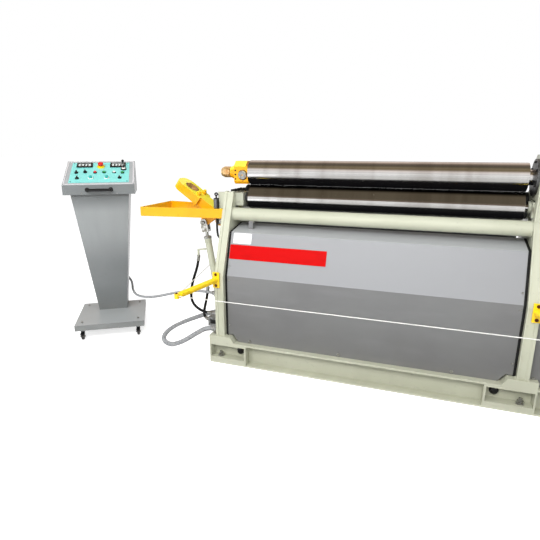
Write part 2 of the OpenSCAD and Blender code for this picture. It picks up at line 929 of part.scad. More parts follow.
trip_z = 567;
trip_out = 640;
trip_x = frame_in + frame_t / 2 + 15;
trip_d = 36;
neck_d = 22;
neck_len = 24;
eye_d = 27;
wire_d = 5;
front_root = [trip_x, -frame_half_y, trip_z];
rear_root = [trip_x, frame_half_y, trip_z];
front_root_left = [-trip_x, -frame_half_y, trip_z];
rear_root_left = [-trip_x, frame_half_y, trip_z];
front_tip = [frame_out + 50, -trip_out, trip_z];
rear_tip = [frame_out + 50, trip_out, trip_z];
front_tip_left = [-frame_out - 50, -trip_out, trip_z];
rear_tip_left = [-frame_out - 320, trip_out, trip_z];

// Round bar of an arm, from the frame's edge to its neck.
module trip_bar(root, tip) {
    run = tip - root;
    face = root[1] < 0 ? -1 : 1;
    difference() {
        bar(root, tip - run / norm(run) * neck_len, trip_d);
        translate([root[0], root[1] - face * 50, trip_z])
            cube(100, center = true);
    }
}

// Arm with its flange on the frame's edge and an upright eye for the wire at its tip.
module trip_arm(root, tip) {
    run = tip - root;
    face = root[1] < 0 ? -1 : 1;
    box([root[0] - 22, min(root[1], root[1] + face * 8), trip_z - 50],
        [root[0] + 22, max(root[1], root[1] + face * 8), trip_z + 50]);
    trip_bar(root, tip);
    bar(tip - run / norm(run) * (neck_len + 1), tip, neck_d);
    translate([tip[0], tip[1], trip_z - eye_d / 2])
        cylinder(d = eye_d, h = eye_d, $fn = 48);
}

module front_trip_arms() {
    color(guard_yellow) {
        trip_arm(front_root_left, front_tip_left);
        trip_arm(front_root, front_tip);
    }
}

module rear_trip_arms() {
    color(guard_yellow) {
        trip_arm(rear_root_left, rear_tip_left);
        trip_arm(rear_root, rear_tip);
    }
}

// How far from an arm's tip a wire comes clear of a bar of diameter d that runs along the arm.
function clear_of(arm, wire, d) = (d / 2 + wire_d / 2 + 0.3) / norm(cross(arm / norm(arm), wire));

// One taut run of the wire from tip a to tip b, which ends where it meets the arms.
module wire_run(a, b, root_a, root_b, d) {
    dir = (b - a) / norm(b - a);
    bar(a + dir * clear_of(root_a - a, dir, d), b - dir * clear_of(root_b - b, dir, d), wire_d);
}

// Taut wire along the front, round the drop end and along the rear.
module trip_wire() {
    color([0.9, 0.9, 0.88]) {
        wire_run(front_tip_left, front_tip, front_root_left, front_root, neck_d);
        wire_run(front_tip_left, rear_tip_left, front_root_left, rear_root_left, trip_d);
        wire_run(rear_tip_left, rear_tip, rear_root_left, rear_root, neck_d);
    }
}

gland_len = 43;

// Bulkhead fittings, cable glands and the connector block on the drop-end frame's outer face.
module hose_fittings() {
    color([0.75, 0.76, 0.77]) {
        box([-frame_out - 67, -246, 240], [-frame_out, -190, 300]);
        rod_x(26, -frame_out - gland_len, -frame_out, -220, 320);
        rod_x(38, -frame_out - gland_len - 1, -frame_out, -240, 222);
        rod_x(38, -frame_out - gland_len - 1, -frame_out, 55, 246);
        rod_x(28, -frame_out - gland_len, -frame_out, -214, 458);
        at_console()
            rod_y(26, column_back, column_back + 25, 40, lead_route[0][2]);
    }
}

// ---------------------------------------------------------------- console

console_at = [-1954, 26, 0];
console_turn = 33;
base_z = 75;
base_t = 43;
pan_t = 4;
column_front_foot = 71;
column_front_top = -71;
column_back = 230;
desk_front = -100;
desk_len = 376;
desk_back = desk_front + desk_len * cos(desk_slope);
desk_top_front = desk_z + skirt_h;
desk_top_back = desk_top_front + desk_len * sin(desk_slope);

// Turns a direction from the console's axes into the machine's.
function in_console(v) =
    [v[0] * cos(console_turn) - v[1] * sin(console_turn),
     v[0] * sin(console_turn) + v[1] * cos(console_turn),
     v[2]];

module at_console() {
    translate(console_at)
        rotate([0, 0, console_turn])
            children();
}

// Places its children on the desk's sloping top: x across, y up the slope, z out of it.
module on_desk() {
    at_console()
        translate([0, desk_front, desk_top_front])
            rotate([desk_slope, 0, 0])
                children();
}

module console_base() {
    color(console_grey)
        at_console()
            difference() {
                box([-desk_w / 2, -base_depth / 2, base_z], [desk_w / 2, base_depth / 2, base_z + base_t]);
                box([-desk_w / 2 + 3, -base_depth / 2 + 3, base_z - 1],
                    [desk_w / 2 - 3, base_depth / 2 - 3, base_z + base_t - pan_t]);
            }
}

// Solid form of the tapered column, drawn smaller by cut for its inside.
module column_form(cut) {
    z0 = base_z + base_t + cut;
    z1 = desk_z - cut;
    intersection() {
        along_x(-desk_w, desk_w)
            polygon([[column_front_foot + cut, z0], [column_back - cut, z0], [column_back - cut, z1],
                     [column_front_top + cut, z1]]);
        along_y(-base_depth, base_depth)
            polygon([[cut - column_foot_w / 2, z0], [column_foot_w / 2 - cut, z0], [column_top_w / 2 - cut, z1],
                     [cut - column_top_w / 2, z1]]);
    }
}

// Sheet column: its front face leans forward and its sides spread towards the desk.
module console_column() {
    color(console_grey)
        at_console()
            difference() {
                column_form(0);
                column_form(2);
            }
}

// Solid form of the sloping desk, drawn smaller by cut for its inside.
module desk_form(cut) {
    along_x(cut - desk_w / 2, desk_w / 2 - cut)
        polygon([[desk_front + cut, desk_z + cut], [desk_front + cut, desk_top_front - cut],
                 [desk_back - cut, desk_top_back - cut], [desk_back - cut, desk_z + cut]]);
}

module console_desk() {
    color(console_grey)
        at_console()
            difference() {
                desk_form(0);
                desk_form(2);
            }
}

fascia_t = 3;

module console_fascia() {
    color([0.45, 0.93, 0.90])
        on_desk()
            box([-205, 32, 0], [205, 345, fascia_t]);
}

module console_readouts() {
    color(black)
        on_desk()
            for (x = [-116, 122])
                box([x - 56, 262, fascia_t], [x + 56, 330, fascia_t + 9]);
}

selector_at = [[-165, 178], [-105, 186], [-152, 92], [140, 92]];
button_at = [[-35, 180], [28, 180], [98, 180], [158, 172]];
knob_at = [[-60, 94], [50, 94]];
stop_at = [0, 272];
stick_at = [164, 232];

// Selector switches, push buttons, knobs, and the collars of the stop button and the joystick.
module console_controls() {
    color(black)
        on_desk()
            translate([0, 0, fascia_t]) {
                for (p = selector_at)
                    translate(p) {
                        cylinder(d = 27, h = 8, $fn = 48);
                        translate([-4, -13, 8 - eps])
                            cube([8, 26, 12]);
                    }
                for (p = button_at)
                    translate(p) {
                        cylinder(d = 27, h = 7, $fn = 48);
                        cylinder(d = 21, h = 11, $fn = 48);
                    }
                for (p = knob_at)
                    translate(p) {
                        cylinder(d = 36, h = 6, $fn = 48);
                        cylinder(d = 24, h = 20, $fn = 48);
                    }
                translate(stop_at)
                    difference() {
                        cylinder(d = 56, h = 12, $fn = 64);
                        translate([0, 0, -1])
                            cylinder(d = 22 + 2 * run_fit, h = 20, $fn = 48);
                    }
                translate(stick_at)
                    difference() {
                        cylinder(d = 44, h = 10, $fn = 48);
                        translate([0, 0, 4])
                            cylinder(d = 34, h = 20, $fn = 48);
                    }
            }
}

stop_travel = 5;

module stop_button() {
    color([0.85, 0.05, 0.05])
        on_desk()
            translate([stop_at[0], stop_at[1], fascia_t]) {
                translate([0, 0, stop_travel + 1])
                    cylinder(d = 22, h = 22, $fn = 48);
                translate([0, 0, 12 + stop_travel + 1])
                    rotate_extrude($fn = 64)
                        polygon([[0, 0], [18, 0], [20, 3], [20, 13], [17, 17], [0, 18]]);
            }
}

module joystick() {
    color(black)
        on_desk()
            translate([stick_at[0], stick_at[1], fascia_t + 12]) {
                sphere(d = 15, $fn = 32);
                rod_x(3, -10, 10, 0, 0);
                cylinder(d = 9, h = 52, $fn = 32);
                translate([0, 0, 56])
                    sphere(d = 20, $fn = 32);
            }
}

handle_half = 80;
handle_d = 20;
handle_out = 40;

module console_handle() {
    color(black)
        at_console() {
            y = desk_front - handle_out;
            z = desk_z + skirt_h / 2;
            for (x = [-handle_half, handle_half])
                rod_y(handle_d, y, desk_front, x, z);
            rod_x(handle_d, -handle_half, handle_half, y, z);
            for (x = [-handle_half, handle_half])
                translate([x, y, z])
                    sphere(d = handle_d, $fn = 32);
        }
}

castor_x = desk_w / 2 - 48;
castor_y = base_depth / 2 - 46;
trail = 22;
castor_sites = [[-1, -1], [1, -1], [1, 1], [-1, 1]];
wheel_t = 18;
axle_d = 8;

module at_castor(i) {
    at_console()
        translate([castor_sites[i][0] * castor_x, castor_sites[i][1] * castor_y, 0])
            children();
}

// Swivel plate, bent fork and axle.
module castor_fork(i) {
    color(steel)
        at_castor(i) {
            translate([0, 0, 58])
                cylinder(d = 34, h = base_z + base_t - pan_t - 0.3 - 58, $fn = 48);
            for (s = [-1, 1])
                along_x(s * 11.5 - 1.5, s * 11.5 + 1.5)
                        polygon([[-14, 60], [14, 60], [-trail + 8, wheel_d / 2 - 7], [-trail - 8, wheel_d / 2 - 7],
                                 [-trail - 10, wheel_d / 2 + 6]]);
            rod_x(axle_d, -16, 16, -trail, wheel_d / 2);
        }
}

module castor_wheel(i) {
    color(black)
        at_castor(i)
            difference() {
                rod_x(wheel_d, -wheel_t / 2, wheel_t / 2, -trail, wheel_d / 2);
                rod_x(axle_d + 2 * run_fit, -wheel_t, wheel_t, -trail, wheel_d / 2);
            }
}

left_foot();
right_foot();
drive_base();
front_beam();
rear_beam();
left_frame();
right_frame();
tie_tube();
rear_tie_tube();
front_cover();
rear_cover();
cover_seals();
drive_housing();
top_bearing_block();
drive_bearing();
rear_roll();
rear_bearings();
way_caps();
guard_frame();
drop_end_hinge();
cylinder_bracket();
switch_bracket();
limit_switch();
switch_cable();
front_trip_arms();
rear_trip_arms();
trip_wire();
hose_fittings();
hose_upper();
hose_lower();
conduit_loop();
console_conduit();
lower_bearings();
lower_roll();
top_roll();
roll_nose();
yoke();
yoke_head();
yoke_bush();
cylinder_barrel();
cylinder_rod();
console_base();
console_column();
console_desk();
console_fascia();
console_readouts();
console_controls();
console_handle();
stop_button();
joystick();
castor_fork(0);  // castor_fork_1
castor_fork(1);  // castor_fork_2
castor_fork(2);  // castor_fork_3
castor_fork(3);  // castor_fork_4
castor_wheel(0);  // castor_wheel_1
castor_wheel(1);  // castor_wheel_2
castor_wheel(2);  // castor_wheel_3
castor_wheel(3);  // castor_wheel_4
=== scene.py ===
import itertools

import bmesh
import bpy
import numpy as np
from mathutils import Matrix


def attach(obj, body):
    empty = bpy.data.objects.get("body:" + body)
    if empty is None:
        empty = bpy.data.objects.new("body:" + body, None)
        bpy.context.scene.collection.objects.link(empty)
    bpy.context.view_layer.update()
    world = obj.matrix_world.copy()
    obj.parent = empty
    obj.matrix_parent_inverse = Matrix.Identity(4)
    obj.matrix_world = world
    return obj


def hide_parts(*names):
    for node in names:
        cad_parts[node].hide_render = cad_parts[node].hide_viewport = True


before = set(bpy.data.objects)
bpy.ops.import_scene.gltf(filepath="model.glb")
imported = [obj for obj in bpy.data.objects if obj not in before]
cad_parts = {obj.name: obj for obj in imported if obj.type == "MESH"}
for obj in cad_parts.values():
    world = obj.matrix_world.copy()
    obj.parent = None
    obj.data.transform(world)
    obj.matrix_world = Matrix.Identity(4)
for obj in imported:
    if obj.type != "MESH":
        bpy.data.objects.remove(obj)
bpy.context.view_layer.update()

scene = bpy.context.scene

# ----------------------------------------------
# Camera: a 30 mm lens at eye height in front of the machine, turned to its drop end, so that the
# console stands at the left and the rolls run out of view at the right.


def added(name, data):
    """New object of the scene, with its place in its data."""
    made = bpy.data.objects.new(name, data)
    scene.collection.objects.link(made)
    return made


camera = added("camera", bpy.data.cameras.new("camera"))
camera.location = (0.333, -2.713, 1.362)
camera.rotation_euler = np.radians((74.5, 0.0, 19.5))
camera.data.sensor_width, camera.data.lens, camera.data.shift_y = 36.0, 30.0, 0.0056
scene.camera = camera
scene.view_settings.view_transform = "Standard"

# ----------------------------------------------
# Hoses and conduits: two black wire-braid hydraulic hoses hang from the cylinder's ports, a
# stout corrugated conduit loops from the frame's front gland to its middle one, and a thinner
# one runs from the console to the frame. All go back into the machine, so no end is loose.

# The machine's axes run along its rolls, from its front to its rear, and up.
to_right, to_rear, to_top = np.eye(3)

# A finish is a principled shader whose sockets take numbers, colours or sums of textures. Every
# pattern reads Object coordinates, so that it stays on its piece.


def linear(colour):
    """The shader's colour for a paint chip's screen values, 0 to 255. Others pass unchanged."""
    if isinstance(colour, Socket) or len(colour) == 4:
        return colour
    c = np.array(colour) / 255.0
    return (*np.where(c <= 0.04045, c / 12.92, ((c + 0.055) / 1.055) ** 2.4), 1.0)


def feed(tree, socket, value):
    """Links a socket to another one, or sets it to a number, a vector or a colour."""
    if isinstance(value, Socket):
        tree.links.new(value.out, socket)
    else:
        socket.default_value = value


def wired(tree, kind, settings=(), inputs=(), output=0):
    """Any node: its type, its settings, then the values or links of its sockets."""
    node = tree.nodes.new("ShaderNode" + kind)
    for key, value in dict(settings).items():
        setattr(node, key, value)
    for key, value in dict(inputs).items():
        feed(tree, node.inputs[key], value)
    return Socket(tree, node.outputs[output])


class Socket:
    """A shader socket that Python's operators work on: each one adds the Math node of its name."""

    def __init__(self, tree, out):
        self.tree, self.out = tree, out

    def siblings(self):
        """Every output of this socket's node, by name."""
        return {out.name: Socket(self.tree, out) for out in self.out.node.outputs}

    def math(self, operation, *values):
        return wired(self.tree, "Math", {"operation": operation}, enumerate(values))

    def step(self, low, high):
        """0 below low, 1 above high, and a smooth rise between them."""
        return wired(self.tree, "MapRange", {"interpolation_type": "SMOOTHSTEP"},
                     enumerate((self, low, high, 0.0, 1.0)))

    def __abs__(self):
        return self.math("ABSOLUTE", self)


for sign, operation in (("add", "ADD"), ("sub", "SUBTRACT"), ("mul", "MULTIPLY"),
                        ("truediv", "DIVIDE"), ("lt", "LESS_THAN")):
    setattr(Socket, f"__{sign}__", lambda self, other, name=operation:
            self.math(name, self, other))
    setattr(Socket, f"__r{sign}__", lambda self, other, name=operation:
            self.math(name, other, self))


class Finish:
    """A material under construction. It keeps the given slot of the record, or its own name, as
    its slot; fixed are numbers for the shader's own sockets."""

    def __init__(self, name, colour, roughness, metallic=0.0, slot=None, **fixed):
        self.material = bpy.data.materials.new(name)
        self.material.use_nodes = True
        self.material.diffuse_color = linear(colour)
        self.slot = slot or name
        self.tree = self.material.node_tree
        self.shader = self.tree.nodes["Principled BSDF"]
        self.place = self.node("TexCoord", output=3)
        for socket, value in {"Base_Color": linear(colour), "Roughness": roughness,
                              "Metallic": metallic, **fixed}.items():
            self.set(socket.replace("_", " "), value)

    def set(self, name, value):
        feed(self.tree, self.shader.inputs[name], value)

    def node(self, *facts, **named):
        """A node of this finish; the facts are those of wired."""
        return wired(self.tree, *facts, **named)

    def noise(self, scale, detail=3, stretch=(1.0, 1.0, 1.0), offset=0.0):
        """Cloudy value round 0.5, scale cells to a metre, drawn out where stretch is small."""
        shift = (offset, offset * 0.7, offset * 1.3)
        place = self.node("Mapping", inputs={"Vector": self.place, "Scale": stretch,
                                             "Location": shift})
        return self.node("TexNoise", inputs={"Vector": place, "Scale": scale, "Detail": detail})

    def axes(self):
        """The three object coordinates, in metres."""
        return [*self.node("SeparateXYZ", inputs={0: self.place}).siblings().values()]

    def mix(self, factor, a, b):
        """Colour a where factor is 0 and colour b where it is 1."""
        return self.node("Mix", {"data_type": "RGBA"}, {0: factor, 6: linear(a), 7: linear(b)}, 2)

    def layers(self, coat, *over):
        """Colours the surface with coat, or what it has, and each (mask, tint) over that."""
        coat = coat or Socket(self.tree, self.shader.inputs["Base Color"].links[0].from_socket)
        for mask, tint in over:
            coat = self.mix(mask, coat, tint)
        self.set("Base Color", coat)

    def rounded(self, radius):
        """Normal that shades sharp edges as if they were broken to that radius."""
        return self.node("Bevel", {"samples": 4}, {"Radius": radius})

    def edges(self, rounded):
        """1 along sharp edges, where a rounded normal leaves the true one, and 0 elsewhere."""
        same = self.node("VectorMath", {"operation": "DOT_PRODUCT"},
                         {0: rounded, 1: self.node("NewGeometry", output=3)}, 1)
        return (1.0 - same).step(0.01, 0.2)

    def upward(self):
        """How far each surface faces up, from 1 down to -1."""
        return self.node("SeparateXYZ", inputs={0: self.node("NewGeometry", output=1)}, output=2)

    def bump(self, height, depth, below=None):
        """Relief of the given depth in metres; below is the rounding under it."""
        relief = self.node("Bump", inputs={"Height": height, "Distance": depth})
        if below:
            feed(self.tree, relief.out.node.inputs["Normal"], below)
        self.set("Normal", relief)

    def worn(self, cloud, fade=None, shades=None, gloss=None, grain=None, depth=0.0, edge=0.0):
        """Mottling, by the figures of its noises. A cloud past its fade turns the first shade to
        the second, and roughness is gloss[0] + gloss[1] cloud. The grain, or else the cloud, is
        relief of that depth, over edges broken to the edge radius."""
        cloud = self.noise(*cloud)
        if shades:
            self.set("Base Color", self.mix(cloud.step(*fade) if fade else cloud, *shades))
        if gloss:
            self.set("Roughness", gloss[0] + gloss[1] * cloud)
        if depth:
            self.bump(self.noise(*grain) if grain else cloud, depth,
                      self.rounded(edge) if edge else None)
        return self

    def on(self, *names):
        """Gives the finish to CAD nodes."""
        for name in names:
            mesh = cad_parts[name].data
            mesh.materials.clear()
            mesh.materials.append(self.material)
        return self


# Surfaces are grids of points worked out from two parameters. A grid closes on itself along its
# columns unless told otherwise, and several grids can make one piece.


def turned(profile, sides=32):
    """Surface of revolution: (r cos a, r sin a, h) for each (r, h) of the profile and angle a."""
    r, h = np.array(profile, float).T
    a = np.linspace(0, 2 * np.pi, sides, endpoint=False)
    return np.stack([np.outer(r, np.cos(a)), np.outer(r, np.sin(a)),
                     np.repeat(h[:, None], sides, 1)], -1)


def hexed(grid):
    """Squashes a turned grid to a hexagon: radius times cos 30 over cos of the angle to a flat."""
    a = np.arctan2(grid[..., 1], grid[..., 0]) % (np.pi / 3) - np.pi / 6
    return grid * np.stack([np.cos(np.pi / 6) / np.cos(a)] * 2 + [np.ones_like(a)], -1)


def block(low, high, radius):
    """Box with rounded edges: a sphere of that radius, split and pushed out to the corners."""
    low, high, steps = np.array(low, float), np.array(high, float), 3
    lift = np.radians(np.concatenate([np.linspace(-90, 0, steps), np.linspace(0, 90, steps)]))
    turn = np.radians(np.concatenate([np.linspace(q, q + 90, steps) for q in (0, 90, 180, 270)]))
    side_x, side_y = np.repeat([[1.0, -1.0, -1.0, 1.0], [1.0, 1.0, -1.0, -1.0]], steps, axis=1)
    up = np.repeat([-1.0, 1.0], steps)[:, None]
    flat = np.cos(lift)[:, None]
    ball = np.stack(np.broadcast_arrays(flat * np.cos(turn), flat * np.sin(turn),
                                        np.sin(lift)[:, None]), -1)
    corner = np.stack(np.broadcast_arrays(side_x, side_y, up), -1)
    grid = corner * ((high - low) / 2 - radius) + radius * ball
    pole = np.zeros_like(grid[:1]) + (0, 0, (high[2] - low[2]) / 2)
    return (low + high) / 2 + np.concatenate([-pole, grid, pole])


def aimed(grid, at, axis):
    """Turns a grid drawn along +Z to run along axis, and moves its origin to at."""
    z = np.array(axis, float) / np.linalg.norm(axis)
    x = np.cross(to_rear if abs(z[1]) < 0.9 else to_right, z)
    x /= np.linalg.norm(x)
    return np.array(at, float) + grid @ np.array([x, np.cross(z, x), z])


def smooth(points, spans=40):
    """Catmull-Rom curve through the points: a cubic between each two, cut into spans parts."""
    p = np.array(points, float)
    p = np.concatenate([[2 * p[0] - p[1]], p, [2 * p[-1] - p[-2]]])
    a, b, c, d = (p[i:len(p) - 3 + i, None] for i in range(4))
    t = np.linspace(0, 1, spans, endpoint=False)[None, :, None]
    curve = 0.5 * (2 * b + (c - a) * t + (2 * a - 5 * b + 4 * c - d) * t ** 2
                   + (3 * b - a - 3 * c + d) * t ** 3)
    return np.concatenate([curve.reshape(-1, 3), p[-2:-1]])


def evenly(path, count=2):
    """The same line with count points at equal steps along it, and its length."""
    path = np.array(path, float)
    run = np.concatenate([[0.0], np.cumsum(np.linalg.norm(np.diff(path, axis=0), axis=1))])
    at = np.linspace(0, run[-1], count)
    return np.stack([np.interp(at, run, path[:, k]) for k in range(3)], -1), run[-1]


def tube(path, radius, sides, across=to_top):
    """Rings of the given radius, or radii, round a path; across is never along the path."""
    heading = np.gradient(path, axis=0)
    heading /= np.linalg.norm(heading, axis=1)[:, None]
    u = np.cross(across, heading)
    u /= np.linalg.norm(u, axis=1)[:, None]
    v = np.cross(heading, u)
    a = np.linspace(0, 2 * np.pi, sides, endpoint=False)[None, :, None]
    radius = np.broadcast_to(radius, len(path))[:, None, None]
    rings = path[:, None] + radius * (np.cos(a) * u[:, None] + np.sin(a) * v[:, None])
    ends = [np.repeat(path[k, None], sides, 0)[None] for k in (0, -1)]
    return np.concatenate([ends[0], rings, ends[1]])


def piece(name, grids, finish, body="machine", crisp=40.0, closed=True, instead=None):
    """One mesh of the grids: each point joins its neighbours in quads, and poles are merged.
    instead names the CAD node that it stands for, and crisp is the angle where shading breaks."""
    points, faces, start = [], [], 0
    for grid in grids:
        rows, columns = grid.shape[:2]
        i, j = np.meshgrid(np.arange(rows - 1), np.arange(columns if closed else columns - 1),
                           indexing="ij")
        k = (j + 1) % columns
        quads = np.stack([i * columns + j, i * columns + k,
                          (i + 1) * columns + k, (i + 1) * columns + j], -1)
        faces.append(quads.reshape(-1, 4) + start)
        points.append(grid.reshape(-1, 3))
        start += rows * columns
    mesh = bpy.data.meshes.new(name)
    mesh.from_pydata(np.concatenate(points).tolist(), [], np.concatenate(faces).tolist())
    form = bmesh.new()
    form.from_mesh(mesh)
    bmesh.ops.remove_doubles(form, verts=form.verts, dist=2e-6)
    form.to_mesh(mesh)
    form.free()
    mesh.shade_smooth()
    mesh.set_sharp_from_angle(angle=np.radians(crisp))
    mesh.materials.append(finish.material)
    made = added(name, mesh)
    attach(made, body)
    if instead:
        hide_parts(instead)
    return made


hose_rubber = Finish("hose_rubber", (14, 14, 16), 0.6, Specular_IOR_Level=0.25).worn(
    (40, 3), gloss=(0.5, 0.3), grain=(700, 2), depth=0.0006)
conduit_grey = Finish("conduit_grey", (146, 148, 150), 0.4).worn(
    (60, 5), (0.45, 0.7), [(158, 160, 162), (128, 130, 133)], gloss=(0.28, 0.3))

hose_upper_route = [
    (-1.155, 0.0, 0.645), (-1.158, -0.003, 0.608), (-1.163, -0.010, 0.570),
    (-1.170, -0.022, 0.532), (-1.177, -0.038, 0.495), (-1.181, -0.056, 0.458),
    (-1.180, -0.075, 0.422), (-1.173, -0.096, 0.388), (-1.158, -0.118, 0.358),
    (-1.132, -0.140, 0.336), (-1.098, -0.160, 0.322), (-1.060, -0.180, 0.315),
    (-1.022, -0.198, 0.313), (-0.984, -0.212, 0.316), (-0.946, -0.220, 0.320)]
hose_lower_route = [
    (-1.092, 0.0, 0.420), (-1.092, -0.008, 0.388), (-1.089, -0.026, 0.356),
    (-1.084, -0.052, 0.328), (-1.076, -0.084, 0.306), (-1.064, -0.118, 0.290),
    (-1.047, -0.152, 0.279), (-1.024, -0.184, 0.272), (-0.996, -0.206, 0.270),
    (-0.970, -0.212, 0.270)]
conduit_loop_route = [
    (-0.947, -0.240, 0.222), (-1.000, -0.241, 0.208), (-1.062, -0.243, 0.170),
    (-1.128, -0.247, 0.124), (-1.196, -0.250, 0.084), (-1.262, -0.244, 0.061),
    (-1.325, -0.216, 0.056), (-1.374, -0.162, 0.062), (-1.388, -0.094, 0.076),
    (-1.362, -0.030, 0.098), (-1.302, 0.016, 0.126), (-1.230, 0.040, 0.156),
    (-1.152, 0.050, 0.188), (-1.074, 0.054, 0.218), (-1.004, 0.055, 0.240),
    (-0.947, 0.055, 0.246)]
console_conduit_route = [
    (-2.059, 0.262, 0.390), (-2.078, 0.303, 0.382), (-2.078, 0.337, 0.362),
    (-2.062, 0.359, 0.333), (-2.035, 0.364, 0.305), (-2.005, 0.351, 0.284),
    (-1.976, 0.325, 0.268), (-1.948, 0.291, 0.254), (-1.917, 0.252, 0.244),
    (-1.868, 0.200, 0.238), (-1.814, 0.152, 0.239), (-1.756, 0.109, 0.247),
    (-1.694, 0.073, 0.258), (-1.628, 0.042, 0.272), (-1.556, 0.012, 0.291),
    (-1.480, -0.018, 0.316), (-1.398, -0.050, 0.346), (-1.310, -0.084, 0.378),
    (-1.216, -0.120, 0.408), (-1.120, -0.158, 0.434), (-1.030, -0.192, 0.452),
    (-0.946, -0.214, 0.458)]


def hang_cord(name, node, route, diameter, finish, pitch=0.0, across=to_top):
    """A hose, or with a pitch a ribbed conduit: radius times 1 - 0.09 (1 - cos(2 pi s/pitch))."""
    line = smooth(route)
    count = int(evenly(line)[1] / (pitch / 6 if pitch else 0.006))
    path, length = evenly(line, count)
    ribs = 1.0
    if pitch:
        ribs -= 0.09 * (1.0 - np.cos(2 * np.pi * np.linspace(0, length, count) / pitch))
    made = piece(name, [tube(path, diameter / 2 * ribs, 14, across)], finish, crisp=80.0,
                 instead=node)


for end, route in (("upper", hose_upper_route), ("lower", hose_lower_route)):
    hang_cord(f"cylinder_hose_{end}", f"hose_{end}", route, 0.018, hose_rubber, across=to_rear)
hang_cord("ribbed_loop", "conduit_loop", conduit_loop_route, 0.032, conduit_grey,
          pitch=0.0075)
hang_cord("ribbed_console_lead", "console_conduit", console_conduit_route, 0.018, conduit_grey,
          pitch=0.0048)

# ----------------------------------------------
# Frame and base: plate and channel welded up, filled, and sprayed cream over grey primer. The
# feet, beams, side frames and tie tubes are one weldment, so one paint covers them all.


def sprayed(name, colour, shade, roughness=0.34, edge=0.0016, wear=0.5, top=None, slot=None):
    """Workshop paint: slow drift towards shade, orange peel, dust that thickens near the floor,
    a paler rubbed line along its sharp edges, and, where a top tone is given, a painted highlight
    in that tone on the surfaces that face up, where more light falls."""
    paint = Finish(name, colour, roughness, slot=slot, Coat_Weight=0.25, Coat_Roughness=0.2)
    drift = paint.noise(3.1, 4).step(0.35, 0.7)
    speck = paint.noise(55, 6, offset=3.0).step(0.62, 0.72)
    dust = (1.0 - paint.axes()[2].step(0.0, 0.35)) * paint.noise(9, 5, offset=7.0)
    normal = paint.rounded(edge)
    rubbed = paint.edges(normal) * paint.noise(38, 4, offset=5.0).step(0.5, 0.62) * wear
    coats = [(drift * 0.55, shade), (speck * 0.12, (70, 66, 58)), (dust * 0.35, (150, 146, 134)),
             (rubbed, (236, 236, 230))]
    # Painted highlight: where a top tone is given, surfaces that face up take it, as if lit more
    # strongly from above.
    if top:
        coats.insert(1, (paint.upward().step(0.2, 0.6), top))
    paint.layers(colour, *coats)
    paint.set("Roughness", roughness + 0.22 * dust + 0.1 * speck - 0.05 * drift)
    paint.bump(paint.noise(420, 1), 0.00018, normal)
    return paint


cream_paint = sprayed("cream_paint", (192, 194, 174), (179, 181, 160)).on(
    "left_foot", "right_foot", "drive_base", "front_beam", "rear_beam", "left_frame",
    "right_frame", "tie_tube", "rear_tie_tube", "cylinder_bracket", "cylinder_barrel",
    "switch_bracket")


def bead(path, radius, pitch=0.005, across=to_top):
    """Weld bead: a tube whose radius swells by a sixth in each ripple."""
    count = max(int(evenly(path)[1] / pitch * 4), 8)
    line, length = evenly(path, count)
    ripple = radius * (1 + 0.16 * np.cos(2 * np.pi * np.linspace(0, length, count) / pitch))
    return tube(line, ripple, 8, across)


def ring_path(centre, radius, count=96):
    """Circle of points round a line through centre that runs along the rolls."""
    a = np.linspace(0, 2 * np.pi, count)[:, None]
    return np.array(centre) + radius * (np.cos(a) * to_rear + np.sin(a) * to_top)


frame_in, frame_out, foot_in, foot_top, tie_r = 0.843, 0.903, 0.697, 0.190, 0.041
welds = []
for side in (-1, 1):
    for y, z in ((-0.077, 0.958), (0.19, 0.76)):
        welds.append(bead(ring_path((side * (frame_in - 0.003), y, z), tie_r + 0.001), 0.0028,
                          across=to_right))
    for x in (frame_in - 0.001, frame_out + 0.001):
        welds.append(bead([(side * x, -0.270, foot_top), (side * x, 0.270, foot_top)], 0.004))
    for y in (-0.27522, 0.27522):
        welds.append(bead([(side * foot_in, y, 0.012), (side * foot_in, y, 0.148)], 0.003,
                          across=to_right))
piece("frame_welds", welds, cream_paint)

# Each side frame is bolted down through its feet: a washer and a hexagon nut stand on the lip of
# the foot's pocket, and a levelling screw with its lock nut stands on the raised block.


def nut(width, height):
    """Hexagon nut or bolt head along +Z: a chamfered profile squashed to six flats."""
    r, c = width / 2 / np.cos(np.pi / 6), width * 0.04
    return hexed(turned([(1e-6, 0), (r - c, 0), (r, c), (r, height - c), (r - 2 * c, height),
                         (1e-6, height)], 48))


def disc(radius, height, edge=0.0006, low=0.0):
    """Round plate along +Z with broken edges."""
    return turned([(0, low), (radius - edge, low), (radius, low + edge),
                   (radius, low + height - edge), (radius - edge, low + height),
                   (0, low + height)], 40)


def hex_bolt(width, height):
    """Washer with a hexagon head on it, along +Z from the seat."""
    t = width * 0.14
    return [disc(width * 0.72, t), nut(width, height) + (0, 0, t * 0.9)]


def cap_screw(radius, height):
    """Socket-head screw along +Z: a turned head whose recess has six flats."""
    r, c = radius, radius * 0.1
    head = turned([(0, 0), (r, 0), (r, height - c), (r - c, height), (r * 0.56, height)], 36)
    recess = hexed(turned([(r * 0.56, height), (r * 0.52, height - c), (r * 0.52, height * 0.45),
                           (0, height * 0.45)], 36))
    return [head, recess]


def dome_screw(radius):
    """Button-head screw along +Z: a quarter ellipse with a round driver recess."""
    a = np.radians(np.linspace(0, 68, 6))
    dome = [(radius * np.cos(t), radius * 0.55 * np.sin(t)) for t in a]
    return [turned([(0, -0.0004), (radius, -0.0004), *dome, (radius * 0.3, radius * 0.28),
                    (0, radius * 0.28)], 28)]


def placed(grids, at, axis):
    """The same grids, turned to run along axis from at."""
    return [aimed(grid, at, axis) for grid in grids]


def both(reach, middle=0.0):
    """The two places at one reach from the middle."""
    return middle - reach, middle + reach


